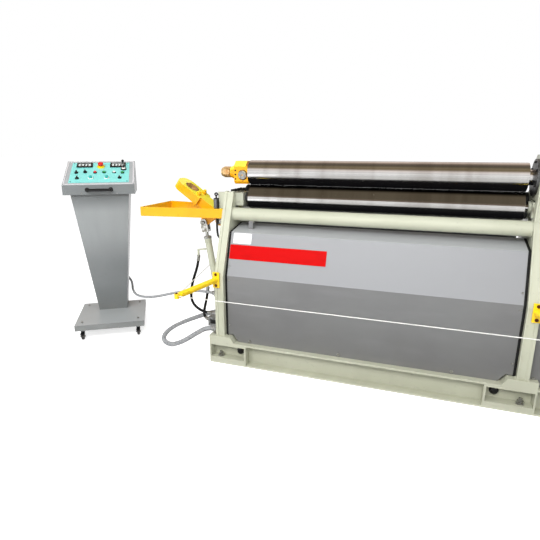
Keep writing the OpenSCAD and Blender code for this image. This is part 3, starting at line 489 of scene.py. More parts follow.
def spread(grids, xs, ys, zs, way=2, place=np.array):
    """The same grids at every crossing of the given x, y and z. They run along the vector way, or
    point outwards along the axis of that number; place turns a crossing into the machine's."""
    made = []
    for at in itertools.product(*map(np.atleast_1d, (xs, ys, zs))):
        axis = np.eye(3)[way] * np.sign(at[way]) if isinstance(way, int) else way
        made += placed(grids, place(at), axis)
    return made


zinc = Finish("zinc_plate", (178, 179, 176), 0.32, 0.85, "fitting_zinc").worn(
    (120, 5), (0.4, 0.7), [(186, 187, 184), (128, 124, 112)], gloss=(0.24, 0.3),
    grain=(900, 1), depth=0.00008)

anchor_x, anchor_y, lip_top = both(0.882), both(0.245), 0.040
piece("foot_nuts", spread(hex_bolt(0.030, 0.016), anchor_x, anchor_y, lip_top)
      + spread([disc(0.0098, 0.014, 0.001)], anchor_x, anchor_y, lip_top + 0.019)
      + spread(hex_bolt(0.019, 0.010), both(0.926), both(0.2352), foot_top), zinc)
jack_screws = spread(hex_bolt(0.034, 0.016), both(0.753), both(0.2165), 0.083, 1)

# ----------------------------------------------
# Covers: folded sheet, sprayed with a metallic grey, closes the machine between its side frames
# and round the drive. Screws hold the edges down on a black rubber strip.

cover_paint = Finish("cover_paint", (130, 131, 131), 0.42, 0.32, Coat_Weight=0.3,
                     Coat_Roughness=0.25)
cloud = cover_paint.noise(2.2, 4, (1.0, 1.0, 1.6)).step(0.3, 0.75)
smear = cover_paint.noise(14, 5, (0.25, 1.0, 1.0), 4.0).step(0.5, 0.8)
grime = (1.0 - cover_paint.axes()[2].step(0.12, 0.55)) * cover_paint.noise(7, 5)
broken, highlight_facing_up = cover_paint.rounded(0.0014), cover_paint.upward()
# Over a drifting grey, smears and grime low down, surfaces that face up are painted paler in two
# steps: a painted highlight where more light falls from above.
cover_paint.layers((134, 135, 135), (cloud, (126, 126, 127)), (smear * 0.3, (146, 147, 148)),
                   (grime * 0.3, (118, 114, 106)), (highlight_facing_up.step(0.02, 0.3), (154, 156, 159)),
                   (highlight_facing_up.step(0.5, 0.9), (196, 199, 201)),
                   (cover_paint.edges(broken) * 0.5, (186, 187, 188)))
cover_paint.set("Roughness", 0.36 + 0.1 * smear + 0.16 * grime)
cover_paint.bump(cover_paint.noise(600, 1), 0.00012, broken)
cover_paint.on("front_cover", "rear_cover", "drive_housing")
Finish("seal_rubber", (9, 9, 10), 0.7).worn(
    (60, 5), shades=[(7, 7, 8), (22, 22, 22)], grain=(300, 3), depth=0.0003).on("cover_seals")

cover_front, cover_rear, fold_z = -0.240, 0.240, 0.600
slope = np.array([0.0, 0.3162, 0.9487])
slope_out = np.array([0.0, -0.9487, 0.3162])


def from_axes(zero, *axes):
    """Makes what turns points in a piece's own axes into the machine's: zero + x a + y b + z c."""
    return lambda grid: zero + np.array(grid) @ np.array(axes)


# The axes of the front cover's sloping panel, with +Y up it and +Z out of it.
on_slope = from_axes((0, cover_front, fold_z), to_right, slope, slope_out)


def label(x0, x1, low, high, thick, round_off):
    """Thin plate with rounded corners that lies on the sloping panel."""
    a = np.linspace(0, 2 * np.pi, 64, endpoint=False)
    rim = np.stack([np.where(np.cos(a) > 0, x1 - round_off, x0 + round_off),
                    np.where(np.sin(a) > 0, high - round_off, low + round_off)], -1)
    rim += round_off * np.stack([np.cos(a), np.sin(a)], -1)
    centre = np.array([(x0 + x1) / 2, (low + high) / 2])
    middle = centre + (rim - centre) * 1e-6
    return on_slope([np.concatenate([row, np.full((64, 1), height)], -1) for row, height in
                     ((middle, 0), (rim, 0), (rim, thick), (middle, thick))])


cover_screw, skirt_screw = dome_screw(0.0055), hex_bolt(0.013, 0.006)
piece("cover_screws", spread(cover_screw, both(0.819), 0.052, 0.0, slope_out, on_slope)
      + spread(cover_screw, both(0.819), cover_front, (0.562, 0.262), 1)
      + spread(skirt_screw, (-0.682, -0.108, 0.528), cover_front, 0.166, 1)
      + spread(cover_screw, np.linspace(-0.80, 0.80, 5), cover_rear, (0.175, 0.41, 0.64, 0.88), 1)
      + spread(cover_screw, np.linspace(0.93, 1.45, 4), both(cover_rear), 0.172, 1), zinc)

vinyl_red = Finish("vinyl_red", (196, 2, 3), 0.5, slot="stop_red", Specular_IOR_Level=0.15).worn(
    (20, 5, (0.3, 1, 1)), (0.45, 0.75), [(196, 2, 3), (182, 2, 3)], grain=(90, 3), depth=0.00015)
piece("red_stripe", [label(-0.8265, -0.210, 0.099, 0.190, 0.0006, 0.004)], vinyl_red)
plate_white = Finish("plate_white", (240, 240, 240), 0.3, slot="wire_cover", Coat_Weight=0.3).worn(
    (35, 5), (0.5, 0.8), [(241, 241, 241), (226, 226, 226)])
piece("white_plate", [label(-0.811, -0.690, 0.198, 0.264, 0.0008, 0.006)], plate_white)

# The drive housing opens for service: a door with pressed louvres, two hinges and a latch on each
# long side, and an eye bolt on the roof to lift the machine by.


def louvre(width, height, depth):
    """Half of a pressed vent: width along X, its hood swelling outwards along +Z."""
    across = np.linspace(-1, 1, 13)[None]
    round_ = np.linspace(0, 1, 8)[:, None]
    swell = (1 - across ** 6) * np.sin(np.pi * round_ ** 0.65)
    return np.stack(np.broadcast_arrays(across * width / 2, (round_ - 0.5) * height,
                                        swell * depth - 0.0003), -1)


door_left, door_right, door_low, door_top, roof = 0.965, 1.418, 0.225, 0.560, 1.060
latch_x, latch_z = door_right - 0.022, 0.392
for side, face_y, out in (("front", cover_front, -1), ("rear", cover_rear, 1)):
    door = block((door_left, 0, door_low), (door_right, 0.0032, door_top), 0.0014)
    door = (door * (1, out, 1) + (0, face_y - out * 0.0002, 0))[:, ::out]
    piece(f"{side}_service_door", [door], cover_paint)
    piece(f"{side}_door_louvres",
          spread([louvre(0.13, 0.016, 0.007)], (1.085, 1.30), face_y + out * 0.003,
                 0.33 + 0.032 * np.arange(6), 1), cover_paint, crisp=70.0, closed=False)
    piece(f"{side}_door_fittings",
          spread([disc(0.006, 0.06, 0.001, -0.03)], door_left - 0.004, face_y + out * 0.004,
                 (0.28, 0.50))
          + placed([disc(0.014, 0.006, 0.001), disc(0.010, 0.012, 0.002, 0.005)],
                   (latch_x, face_y + out * 0.003, latch_z), (0, out, 0))
          + [block((latch_x - 0.004, -0.004, latch_z - 0.020),
                   (latch_x + 0.004, 0.004, latch_z + 0.020), 0.002)
             + (0, face_y + out * 0.020, 0)], zinc)
piece("lifting_eye", [tube(ring_path((1.20, 0.0, roof + 0.042), 0.022, 48), 0.007, 14, to_right),
                      aimed(disc(0.022, 0.014, 0.002), (1.20, 0, roof - 0.0002), to_top)], zinc)

# ----------------------------------------------
# Rolls: three bars of ground and hardened steel. The grinding wheel leaves fine rings round them
# and the plate that they bend leaves faint bands, darker where mill scale has rubbed off.

roll_steel = Finish("roll_steel", (214, 213, 212), 0.10, 1.0)
rings = roll_steel.noise(1100, 2, (1.0, 0.012, 0.012))
bands = roll_steel.noise(9, 4, (1.0, 0.05, 0.05), 2.0)
spots = roll_steel.noise(38, 6, offset=6.0).step(0.66, 0.78)
roll_steel.layers((214, 213, 212),
                  (bands.step(0.4, 0.72) * 0.6 + spots * 0.25, (176, 172, 168)))
roll_steel.set("Roughness", 0.10 + 0.07 * rings + 0.08 * bands + 0.12 * spots)
roll_steel.bump(rings, 0.00002, roll_steel.rounded(0.0025))
roll_steel.on("top_roll", "lower_roll", "rear_roll")

# ----------------------------------------------
# Bearings: the top roll turns at the drop end in a yellow block that lifts off its nose's way, and
# the lower roll in cast blocks that rise in the side frames. Cap screws hold their covers.

Finish("bearing_steel", (96, 97, 98), 0.42, 0.75).worn(
    (26, 6), (0.4, 0.65), [(108, 109, 110), (58, 55, 50)], gloss=(0.5, -0.22),
    grain=(260, 4), depth=0.0003, edge=0.0012).on("drive_bearing", "rear_bearings")

# The lower roll's blocks are sprayed with the frame up to their round covers, which stay bare.
block_paint = Finish("block_paint", (172, 174, 158), 0.4)
oil = block_paint.noise(30, 6)
painted = block_paint.mix(oil.step(0.5, 0.72), (172, 174, 158), (122, 120, 106))
cast = block_paint.mix(oil.step(0.4, 0.65), (66, 66, 66), (30, 29, 28))
block_paint.layers(painted, (abs(block_paint.axes()[0]) < 0.7865, cast))
block_paint.bump(block_paint.noise(260, 4), 0.0003, block_paint.rounded(0.0012))
block_paint.on("lower_bearings")

keeper_black = Finish("keeper_black", (22, 22, 23), 0.4).worn(
    (70, 6), (0.5, 0.7), [(20, 20, 21), (52, 50, 48)], grain=(200, 3), depth=0.0002,
    edge=0.001).on("way_caps")
piece("foot_jack_screws", jack_screws, keeper_black)

# The yellow carries two painted highlights: a paler yellow on surfaces that face up, where more
# light falls, and a lighter yellow below about 0.75 m, where the trip arms catch more light.
guard_paint = sprayed("guard_paint", (244, 174, 8), (238, 158, 5), 0.36, 0.0014, 0.15,
                      top=(255, 240, 70))
lower_highlight = 1.0 - guard_paint.axes()[2].step(0.70, 0.80)
guard_paint.layers(None, (lower_highlight * 0.75, (252, 218, 16)))
guard_paint.on("top_bearing_block", "guard_frame", "drop_end_hinge", "front_trip_arms",
               "rear_trip_arms", "yoke", "yoke_head")

nose_bronze = Finish("nose_bronze", (236, 200, 142), 0.3, 0.6).worn(
    (28, 5), (0.35, 0.7), [(240, 206, 150), (206, 154, 96)]).on("roll_nose", "yoke_bush")
lathe = nose_bronze.noise(900, 2, (1.0, 0.01, 0.01))
nose_bronze.set("Roughness", 0.2 + 0.22 * lathe)
nose_bronze.bump(lathe, 0.00006, nose_bronze.rounded(0.001))


def ring(inner, outer, shoulder, top, height, sides, low=0.0):
    """Ring along +Z: straight up from low to its shoulder, then sloping in to the top radius."""
    return turned([(inner, low), (outer, low), (outer, shoulder), (top, height), (inner, height),
                   (inner, low)], sides)


plug_x, plug_z, roll_z, block_front = -0.787, 1.201, 1.215, -0.0598
cover_bolts = [(0.8288, 0.078 * np.sin(a), roll_z + 0.078 * np.cos(a))
               for a in np.radians(np.arange(0, 360, 60))]
piece("bearing_screws", spread(cap_screw(0.0048, 0.004), plug_x - 0.050, block_front,
                               roll_z + np.array([0.013, -0.012, -0.039]), 1)
      + [grid for at in cover_bolts for grid in placed(cap_screw(0.006, 0.006), at, -to_right)]
      + spread(cap_screw(0.0055, 0.005), -0.846, both(0.046), 1.1098), keeper_black)
piece("plug_ring", [aimed(ring(0.0268, 0.031, 0.0045, 0.0268, 0.006, 48),
                          (plug_x, block_front, plug_z), -to_rear)], keeper_black)
plug = turned([(0, 0.0), (0.0265, 0.0), (0.0265, 0.0022), (0.0245, 0.0032), (0.017, 0.0032),
               (0.016, 0.002), (0.0045, 0.002), (0.004, 0.0), (0, 0.0)], 48)
piece("plug_face", [aimed(plug, (plug_x, block_front - 0.010, plug_z), -to_rear)], zinc)

# ----------------------------------------------
# Drop end: a cast yoke turns down on its pin to free the top roll's nose, inside a guard of flat
# bar. Its two bosses carry the stop screws, and nuts hold the pin in the cheeks.

hinge = np.array([-0.947, 0.0, 0.907])
lean = np.radians(54.6)
yoke_axis = np.array([np.cos(lean), 0.0, np.sin(lean)])
yoke_up = np.array([-np.sin(lean), 0.0, np.cos(lean)])
on_yoke = from_axes(hinge, yoke_axis, to_rear, yoke_up)

piece("yoke_stop_screws", spread(hex_bolt(0.019, 0.010), 0.0498, (-0.042, 0.034), 0.231,
                                 yoke_axis, on_yoke), guard_paint, "yoke")
piece("hinge_washers", spread([disc(0.023, 0.004), nut(0.036, 0.006) + (0, 0, 0.0035)],
                              hinge[0], both(0.0802), hinge[2], 1), zinc)
piece("guard_screws", spread(dome_screw(0.006), -1.4698, both(0.150), (0.972, 0.948), 0),
      keeper_black)
piece("guard_welds", [bead([(x, y, 0.932), (x, y, 0.988)], 0.0026, across=to_right)
                      for x, reach in ((-1.4615, 0.185), (-0.904, 0.1185))
                      for y in both(reach)], guard_paint)

# ----------------------------------------------
# Hydraulic cylinder: a honed tube with screwed end caps, painted with the frame. Its chromed rod
# ends in a clevis, and snap rings keep both pins.

Finish("rod_chrome", (226, 227, 229), 0.12, 1.0).worn(
    (60, 5), (0.35, 0.65), [(206, 206, 202), (132, 128, 116)], gloss=(0.08, 0.22),
    grain=(700, 1), depth=0.00004, edge=0.001).on("cylinder_rod")

foot_pin = np.array([-1.015, 0.0, 0.380])
tilt = np.radians(9.226)
bore_axis = np.array([-np.sin(tilt), 0.0, np.cos(tilt)])
top_pin = foot_pin + bore_axis * 0.50619
gland = turned([(0.0115, 0.0), (0.0262, 0.0), (0.0272, 0.001), (0.0272, 0.013), (0.0262, 0.014),
                (0.0175, 0.014), (0.0165, 0.018), (0.0118, 0.018), (0.0115, 0.0)], 48)
piece("cylinder_gland", [aimed(gland, foot_pin + bore_axis * 0.3945, bore_axis)], zinc, "barrel")
band = turned([(0.0224, 0.0), (0.024, 0.001), (0.024, 0.011), (0.0224, 0.012), (0.0224, 0.0)],
              48)
piece("barrel_bands", placed([band + (0, 0, 0.052), band + (0, 0, 0.366)], foot_pin, bore_axis),
      cream_paint, "barrel")
snap_ring = ring(0.0079, 0.0114, 0.0014, 0.0114, 0.0014, 32)
for name, body, at, reach in (("foot_pin_clips", "machine", foot_pin, 0.0255),
                              ("rod_pin_clips", "rod", top_pin, 0.0245)):
    piece(name, spread([snap_ring], at[0], both(reach), at[2], 1), keeper_black, body)

# Crimped ferrules and swivel nuts join the hoses to the ports and to the bulkhead.
for name, route in (("upper_hose_ends", hose_upper_route), ("lower_hose_ends", hose_lower_route)):
    line, length = evenly(smooth(route), 200)
    collars = []
    for run in (line, line[::-1]):
        part = evenly(run[:int(0.042 / length * 200) + 1], 28)[0]
        crimps = 0.0112 + 0.0007 * (np.cos(np.linspace(0, 10 * np.pi, 28)) > 0)
        collars += [tube(part, crimps, 20, to_rear),
                    aimed(nut(0.024, 0.013), run[0], run[3] - run[0])]
    piece(name, collars, zinc)

# ----------------------------------------------
# Limit switch: a moulded box behind the guard, worked by a roller lever when the yoke closes. Its
# lid is held by four screws and its cable runs down the frame.

switch_black = Finish("switch_black", (24, 24, 26), 0.5).worn(
    (80, 5), shades=[(20, 20, 22), (36, 36, 38)], grain=(500, 3), depth=0.0002,
    edge=0.0015).on("limit_switch")
Finish("cable_black", (22, 23, 24), 0.45).worn(
    (50, 3), gloss=(0.36, 0.25), grain=(400, 3), depth=0.0002).on("switch_cable")
lid_grey = Finish("lid_grey", (104, 106, 110), 0.4, 0.2, "fitting_zinc").worn(
    (90, 5), (0.4, 0.7), [(112, 114, 118), (88, 90, 94)], grain=(600, 3), depth=0.0001,
    edge=0.001)

switch_x, switch_face = -0.956, -0.115
piece("switch_lid", [block((switch_x - 0.0098, switch_face - 0.0022, 0.994),
                           (switch_x + 0.0098, switch_face + 0.0005, 1.051), 0.001)], lid_grey)
piece("switch_small_parts", spread(dome_screw(0.0018), both(0.0075, switch_x),
                                   switch_face - 0.0021, (0.998, 1.047), 1), zinc)
sleeve = turned([(0.007, 0.0), (0.0105, 0.0), (0.0105, 0.010), (0.0085, 0.020), (0.0072, 0.022),
                 (0.007, 0.0)], 24)
piece("switch_gland", [aimed(sleeve, (switch_x, -0.099, 0.9505), -to_top)], switch_black)

# ----------------------------------------------
# Trip wire: a coated cable runs round the machine at knee height between arms on the frame. Each
# arm's flange has two screws, and the wire ends in thimbles at the eyes.

Finish("wire_cover", (236, 236, 232), 0.3, Coat_Weight=0.5).worn(
    (240, 3, (0.2, 0.2, 1.0)), shades=[(244, 244, 240), (206, 206, 200)],
    depth=0.0003).on("trip_wire")
rust_red = Finish("screw_rust", (84, 40, 24), 0.6, 0.5, "fitting_zinc").worn(
    (200, 5), shades=[(60, 34, 26), (118, 58, 30)], grain=(500, 3), depth=0.0002)
trip_z = 0.567
flange_screw, eye_screw = hex_bolt(0.013, 0.006), cap_screw(0.0065, 0.005)
piece("arm_screws", spread(flange_screw, both(0.888), both(0.2798), both(0.036, trip_z), 1)
      + spread(eye_screw, both(0.953), -0.640, trip_z + 0.0134)
      + spread(eye_screw, (-1.223, 0.953), 0.640, trip_z + 0.0134), rust_red)

# ----------------------------------------------
# Bulkhead: plated glands and an elbow block bring the hoses and conduits through the side frame.
# Each gland is a hexagon body with a knurled cap, and the block has a black blanking plug.

fitting = Finish("fitting_zinc", (190, 191, 192), 0.3, 0.8).worn(
    (80, 5), (0.4, 0.7), [(198, 199, 200), (140, 139, 134)], gloss=(0.24, 0.3),
    grain=(700, 1), depth=0.0001, edge=0.0015).on("hose_fittings")


def knurled(radius, height):
    """Cap whose radius rises and falls by a thirtieth, 24 times round."""
    grid = turned([(0, 0), (radius * 0.97, 0), (radius, height * 0.1), (radius, height * 0.75),
                   (radius * 0.82, height), (0, height)], 96)
    knurl = 1 + 0.03 * np.cos(24 * np.linspace(0, 2 * np.pi, 96, endpoint=False))
    return grid * np.stack([knurl, knurl, np.ones(96)], -1)


gland_caps = []
for y, z, r in ((-0.220, 0.320, 0.0145), (-0.240, 0.222, 0.0215), (0.055, 0.246, 0.0215),
                (-0.214, 0.458, 0.0155)):
    gland_caps += placed([nut(r * 1.95, 0.009), knurled(r * 1.02, 0.022) + (0, 0, 0.012)],
                         (-0.9032, y, z), -to_right)
piece("gland_caps", gland_caps, fitting)
piece("block_plug", [block((-0.9745, -0.236, 0.249), (-0.9698, -0.200, 0.291), 0.002),
                     block((-0.955, -0.2496, 0.256), (-0.918, -0.2458, 0.286), 0.0015)]
      + placed(cap_screw(0.008, 0.003), (-0.9742, -0.218, 0.270), -to_right), keeper_black)
piece("block_screws", spread(cap_screw(0.0034, 0.003), (-0.962, -0.911), -0.2459,
                             (0.247, 0.293), 1), zinc)

# ----------------------------------------------
# Console: folded sheet painted grey. A tapered column stands on a tray with castors and carries a
# sloping desk; the column's back comes off by six screws.

# The grey carries painted light: a paler grey on surfaces that face up, a painted highlight where
# more light falls, and a paler band up the column between about 0.45 m and 1 m, streaked along its
# height, a painted sheen that stands in for the lit room reflected in the paint.
console_paint = sprayed("console_paint", (116, 120, 121), (124, 128, 129), 0.36, 0.0016, 0.3,
                        top=(170, 175, 177))
sheen_streaks = console_paint.noise(7, 5, (1.0, 1.0, 0.12), 9.0)
height = console_paint.axes()[2]
painted_sheen = height.step(0.45, 0.8) * (1.0 - height.step(0.9, 1.02)) * (0.55 + 0.9 * sheen_streaks)
console_paint.layers(None, (painted_sheen * 0.8, (158, 162, 163)))
console_paint.on("console_base", "console_column", "console_desk")

console_at, turn, desk_tilt = np.array([-1.954, 0.026, 0.0]), np.radians(33), np.radians(24)
console_x = np.array([np.cos(turn), np.sin(turn), 0.0])
console_y = np.array([-np.sin(turn), np.cos(turn), 0.0])
desk_y = console_y * np.cos(desk_tilt) + to_top * np.sin(desk_tilt)
desk_up = np.cross(console_x, desk_y)
desk_zero = console_at + console_y * -0.100 + (0, 0, 1.112)

# The console's own axes have +Y to its back, and the desk's +Y up its slope and +Z out of it.
in_console = from_axes(console_at, console_x, console_y, to_top)
on_desk = from_axes(desk_zero, console_x, desk_y, desk_up)

back_y, sheet_screw = 0.230, dome_screw(0.0045)
piece("column_back_panel", [in_console(block((-0.078, back_y - 0.0005, 0.165),
                                             (0.078, back_y + 0.0022, 0.98), 0.0009))],
      console_paint)
piece("console_screws", spread(sheet_screw, both(0.068), back_y + 0.002, (0.18, 0.57, 0.96),
                               console_y, in_console)
      + spread(hex_bolt(0.012, 0.006), both(0.20), both(0.19), 0.1178, to_top, in_console)
      + spread(sheet_screw, both(0.12), -0.0985, 1.05, -console_y, in_console), zinc)

# The fascia is a cyan overlay sheet under four screws, inside the desk's pale rim. On it stand
# two readouts, selectors, push buttons, knobs, the stop button and the joystick.

Finish("fascia_sheet", (132, 222, 216), 0.28, Coat_Weight=0.4).worn(
    (16, 3), shades=[(126, 216, 210), (142, 230, 224)], grain=(900, 3), depth=0.00008,
    edge=0.0008).on("console_fascia")
control_black = Finish("control_black", (16, 16, 18), 0.38).worn(
    (120, 4), gloss=(0.3, 0.2), grain=(700, 3), depth=0.0001,
    edge=0.001).on("console_controls", "console_handle", "joystick")


def moulded(name, colour, slot, roughness=0.3, **fixed):
    """Plastic that is all one colour, a little darker where hands have been."""
    darker = (*(np.array(linear(colour)[:3]) * 0.86), 1.0)
    return Finish(name, colour, roughness, slot=slot, **fixed).worn(
        (160, 4), (0.4, 0.75), (colour, darker), grain=(800, 3), depth=0.00006)


white_plastic = moulded("control_white", (238, 238, 234), "wire_cover")
red_plastic = moulded("stop_red", (222, 26, 26), "stop_red", Coat_Weight=0.4)
green_plastic = moulded("control_green", (24, 150, 70), "fascia_sheet")
teal_plastic = moulded("control_teal", (60, 178, 172), "fascia_sheet")
yellow_plastic = moulded("stop_collar", (250, 214, 20), "guard_paint")
frame_black = moulded("readout_frame", (18, 18, 20), "readout_frame", 0.4)
pale_glass = moulded("readout_glass", (226, 232, 230), "wire_cover", 0.15)
digit_grey = moulded("readout_digits", (52, 58, 58), "readout_frame", 0.2)
pale_rim = sprayed("desk_rim", (214, 212, 214), (198, 197, 198), 0.34, 0.001, 0.2,
                   slot="console_paint")


def edging(low, high, sides, ends, bottom, top, radius):
    """Four bars just inside a rectangle of the desk: sides wide up the slope, ends across it."""
    (x0, y0), (x1, y1) = low, high
    return [on_desk(block((*a, bottom), (*b, top), radius)) for a, b in
            ((low, (x1, y0 + ends)), ((x0, y1 - ends), high),
             (low, (x0 + sides, y1)), ((x1 - sides, y0), high))]


piece("desk_rim", edging((-0.241, 0.006), (0.241, 0.370), 0.010, 0.010, -0.0004, 0.0022, 0.001),
      pale_rim)
piece("fascia_screws", spread(dome_screw(0.005), both(0.193), (0.044, 0.333), 0.0029, desk_up,
                              on_desk), control_black)

readout_low, readout_high, seat = 0.262, 0.330, 0.0028
frames, windows, digits = [], [], []
for x in (-0.116, 0.122):
    x0, x1 = both(0.056, x)
    frames += edging((x0, readout_low), (x1, readout_high), 0.012, 0.014, seat, 0.012, 0.0012)
    windows.append(on_desk(block((x0 + 0.004, readout_low + 0.004, seat),
                                 (x1 - 0.004, readout_high - 0.004, 0.0085), 0.0008)))
    for left in x - 0.030 + 0.023 * np.arange(3):
        digits.append(on_desk(block((left, 0.283, 0.008), (left + 0.012, 0.309, 0.0088),
                                    0.0003)))
piece("readout_frames", frames, frame_black, instead="console_readouts")
piece("readout_windows", windows, pale_glass)
piece("readout_digits", digits, digit_grey)


def collar(radius, height):
    """Bezel of a control: a turned ring with a sloping top."""
    return turned([(0, -0.0003), (radius, -0.0003), (radius, height * 0.45),
                   (radius * 0.93, height), (radius * 0.74, height), (radius * 0.72, height * 0.6),
                   (0, height * 0.6)], 40)


def at_desk(places, *grids, proud=0.003):
    """The same control parts, drawn from the fascia's face upwards, at each place on it."""
    return [on_desk(grid + (x, y, proud)) for x, y in places for grid in grids]


selectors = ((-0.165, 0.178), (-0.105, 0.186), (-0.152, 0.092), (0.140, 0.092))
red_at, green_at, white_at = (-0.035, 0.180), ((0.028, 0.180), (0.158, 0.172)), (0.098, 0.180)
knobs = ((-0.060, 0.094), (0.050, 0.094))
stop_at, lever_at = [(0.0, 0.272)], [(0.164, 0.232)]
cap = turned([(0, 0.003), (0.0102, 0.003), (0.0102, 0.0096), (0.0094, 0.0108), (0, 0.011)], 36)
piece("control_bodies",
      at_desk(selectors, collar(0.0135, 0.008), disc(0.0095, 0.008, 0.001, 0.003),
              block((-0.004, -0.0125, 0.006), (0.004, 0.0125, 0.0195), 0.002))
      + at_desk((red_at, white_at, *green_at), collar(0.0135, 0.007))
      + at_desk(knobs, block((-0.0009, 0.001, 0.0192), (0.0009, 0.010, 0.0200), 0.0003))
      + at_desk(lever_at, collar(0.0215, 0.0095)), control_black, instead="console_controls")
piece("control_white_parts",
      at_desk(selectors, block((-0.0008, 0.002, 0.0193), (0.0008, 0.0115, 0.0199), 0.0003))
      + at_desk([white_at], cap) + at_desk(knobs, disc(0.018, 0.0055, 0.001)), white_plastic)
piece("control_green_caps", at_desk(green_at, cap), green_plastic)
piece("control_red_cap", at_desk([red_at], cap), red_plastic)
piece("control_knobs", at_desk(knobs, knurled(0.0118, 0.0155) + (0, 0, 0.0045)), teal_plastic)

mushroom = turned([(0, 0.006), (0.011, 0.006), (0.011, 0.0175), (0.0178, 0.0178), (0.0198, 0.021),
                   (0.0200, 0.029), (0.019, 0.0325), (0.016, 0.035), (0.008, 0.0358),
                   (0, 0.036)], 56)
piece("stop_collar", at_desk(stop_at, ring(0.0125, 0.028, 0.006, 0.024, 0.0118, 56)),
      yellow_plastic)
piece("stop_mushroom", at_desk(stop_at, mushroom), red_plastic, "stop_button",
      instead="stop_button")

stick = turned([(0, -0.0073), (0.0045, -0.0058), (0.0072, -0.002), (0.0073, 0.002),
                (0.0056, 0.0055), (0.0038, 0.010), (0.0032, 0.030), (0.0044, 0.046),
                (0.0068, 0.0482), (0.0094, 0.0525), (0.0099, 0.057), (0.0088, 0.0612),
                (0.0055, 0.0648), (0, 0.0659)], 32)
boot = turned([(0.0092, 0.006), (0.013, 0.004), (0.0155, 0.0005), (0.0162, -0.003),
               (0.0092, -0.003), (0.0092, 0.006)], 32)
piece("joystick_lever", at_desk(lever_at, stick, proud=0.015), control_black, "joystick",
      instead="joystick")
piece("joystick_collar", at_desk(lever_at, boot, proud=0.0128), white_plastic)
piece("handle_rosettes", spread([ring(0.0098, 0.0155, 0.003, 0.0135, 0.0042, 36)], both(0.080),
                                -0.0998, 1.0775, -console_y, in_console), control_black)

# ----------------------------------------------
# Castors: plated swivel forks with rubber-tyred wheels under the console's tray. The front two
# have a brake pedal, and each wheel turns on a bolt with a nut.

castor_chrome = Finish("castor_chrome", (120, 121, 123), 0.28, 0.9).worn(
    (140, 6), (0.45, 0.65), [(130, 131, 133), (64, 62, 60)], gloss=(0.2, 0.35), depth=0.0002,
    edge=0.0012).on(*(f"castor_fork_{k}" for k in (1, 2, 3, 4)))
castor_tread = Finish("castor_tread", (30, 30, 31), 0.6).worn(
    (110, 6), (0.5, 0.75), [(26, 26, 27), (96, 93, 88)], depth=0.0004)

wheel_r, wheel_half, trail, axle_z = 0.025, 0.009, 0.022, 0.025
tyre = turned([(0.0172, -wheel_half), (0.0225, -wheel_half), (0.0245, -0.0072), (wheel_r, -0.004),
               (wheel_r, 0.004), (0.0245, 0.0072), (0.0225, wheel_half), (0.0172, wheel_half),
               (0.0172, -wheel_half)], 56)
half_hub = [(0.0042, 0.0086), (0.0075, 0.0086), (0.0085, 0.0066), (0.015, 0.006),
            (0.0175, 0.0084)]
hub = turned([*((r, -h) for r, h in half_hub), *half_hub[::-1], (0.0042, -0.0086)], 48)
race = ring(0.0172, 0.0200, 0.003, 0.0185, 0.005, 40, -0.004)
pedal = np.array([[-0.011, -0.012, 0.060], [0.011, -0.012, 0.060],
                  [0.015, -0.050, 0.048], [-0.015, -0.050, 0.048]])
middle, under = np.repeat(pedal.mean(0)[None], 4, 0), (0, 0, -0.0025)
pedal = np.stack([middle + under, pedal + under, pedal, middle])
for k, (x, y) in enumerate(((-0.197, -0.2065), (0.197, -0.2065), (0.197, 0.2065),
                            (-0.197, 0.2065)), 1):
    axle = in_console((x, y - trail, axle_z))
    wheel, fork = f"castor_wheel_{k}", f"castor_fork_{k}"
    piece(f"castor_tyre_{k}", placed([tyre], axle, console_x), castor_tread, wheel, instead=wheel)
    piece(f"castor_hub_{k}", placed([hub], axle, console_x), zinc, wheel)
    piece(f"castor_nuts_{k}", [aimed(nut(0.012, 0.005), axle + side * 0.0129, side)
                               for side in (-console_x, console_x)]
          + [aimed(race, in_console((x, y, 0.066)), to_top)], castor_chrome, fork)
    if k < 3:
        piece(f"castor_brake_{k}", [in_console(pedal + (x, y, 0))], control_black, fork,
              crisp=20.0)

# ----------------------------------------------
# Room: a pale floor without an edge, two wide soft lamps over and before the machine, and a sky
# that is white to the camera. Mirrors alone see its bands, and the dark cards by and on the
# machine, which paint shade into their reflections.


def soft_lamp(name, at, look_at, size, power):
    """Rectangular lamp that shines from one place towards another and leaves no highlight."""
    lamp = bpy.data.lights.new(name, "AREA")
    lamp.shape, lamp.size, lamp.size_y, lamp.energy = "RECTANGLE", size[0], size[1], power
    made = added(name, lamp)
    made.location = at
    aim = np.array(look_at) - np.array(at)
    made.rotation_euler = (np.arctan2(np.hypot(aim[0], aim[1]), -aim[2]), 0,
                           np.arctan2(-aim[0], aim[1]))
    made.visible_glossy = False


soft_lamp("overhead_lamp", (-0.4, -1.6, 4.2), (-0.3, 0.0, 0.7), (4.5, 2.2), 50.0)
soft_lamp("front_lamp", (-0.6, -3.8, 3.1), (-0.3, 0.0, 0.8), (4.0, 1.4), 185.0)


def card(name, line, finish, ends=(-1.6, 1.9), mirrored=True):
    """Sheet between two ends along X, whose section is a line of (depth, height) points."""
    mesh = bpy.data.meshes.new(name)
    points = [(x, y, z) for y, z in line for x in ends]
    mesh.from_pydata(points, [], [(k, k + 1, k + 3, k + 2) for k in range(0, len(points) - 2, 2)])
    mesh.materials.append(finish.material)
    made = added(name, mesh)
    if mirrored:
        made.visible_camera = made.visible_diffuse = made.visible_shadow = False
        made.visible_transmission = False


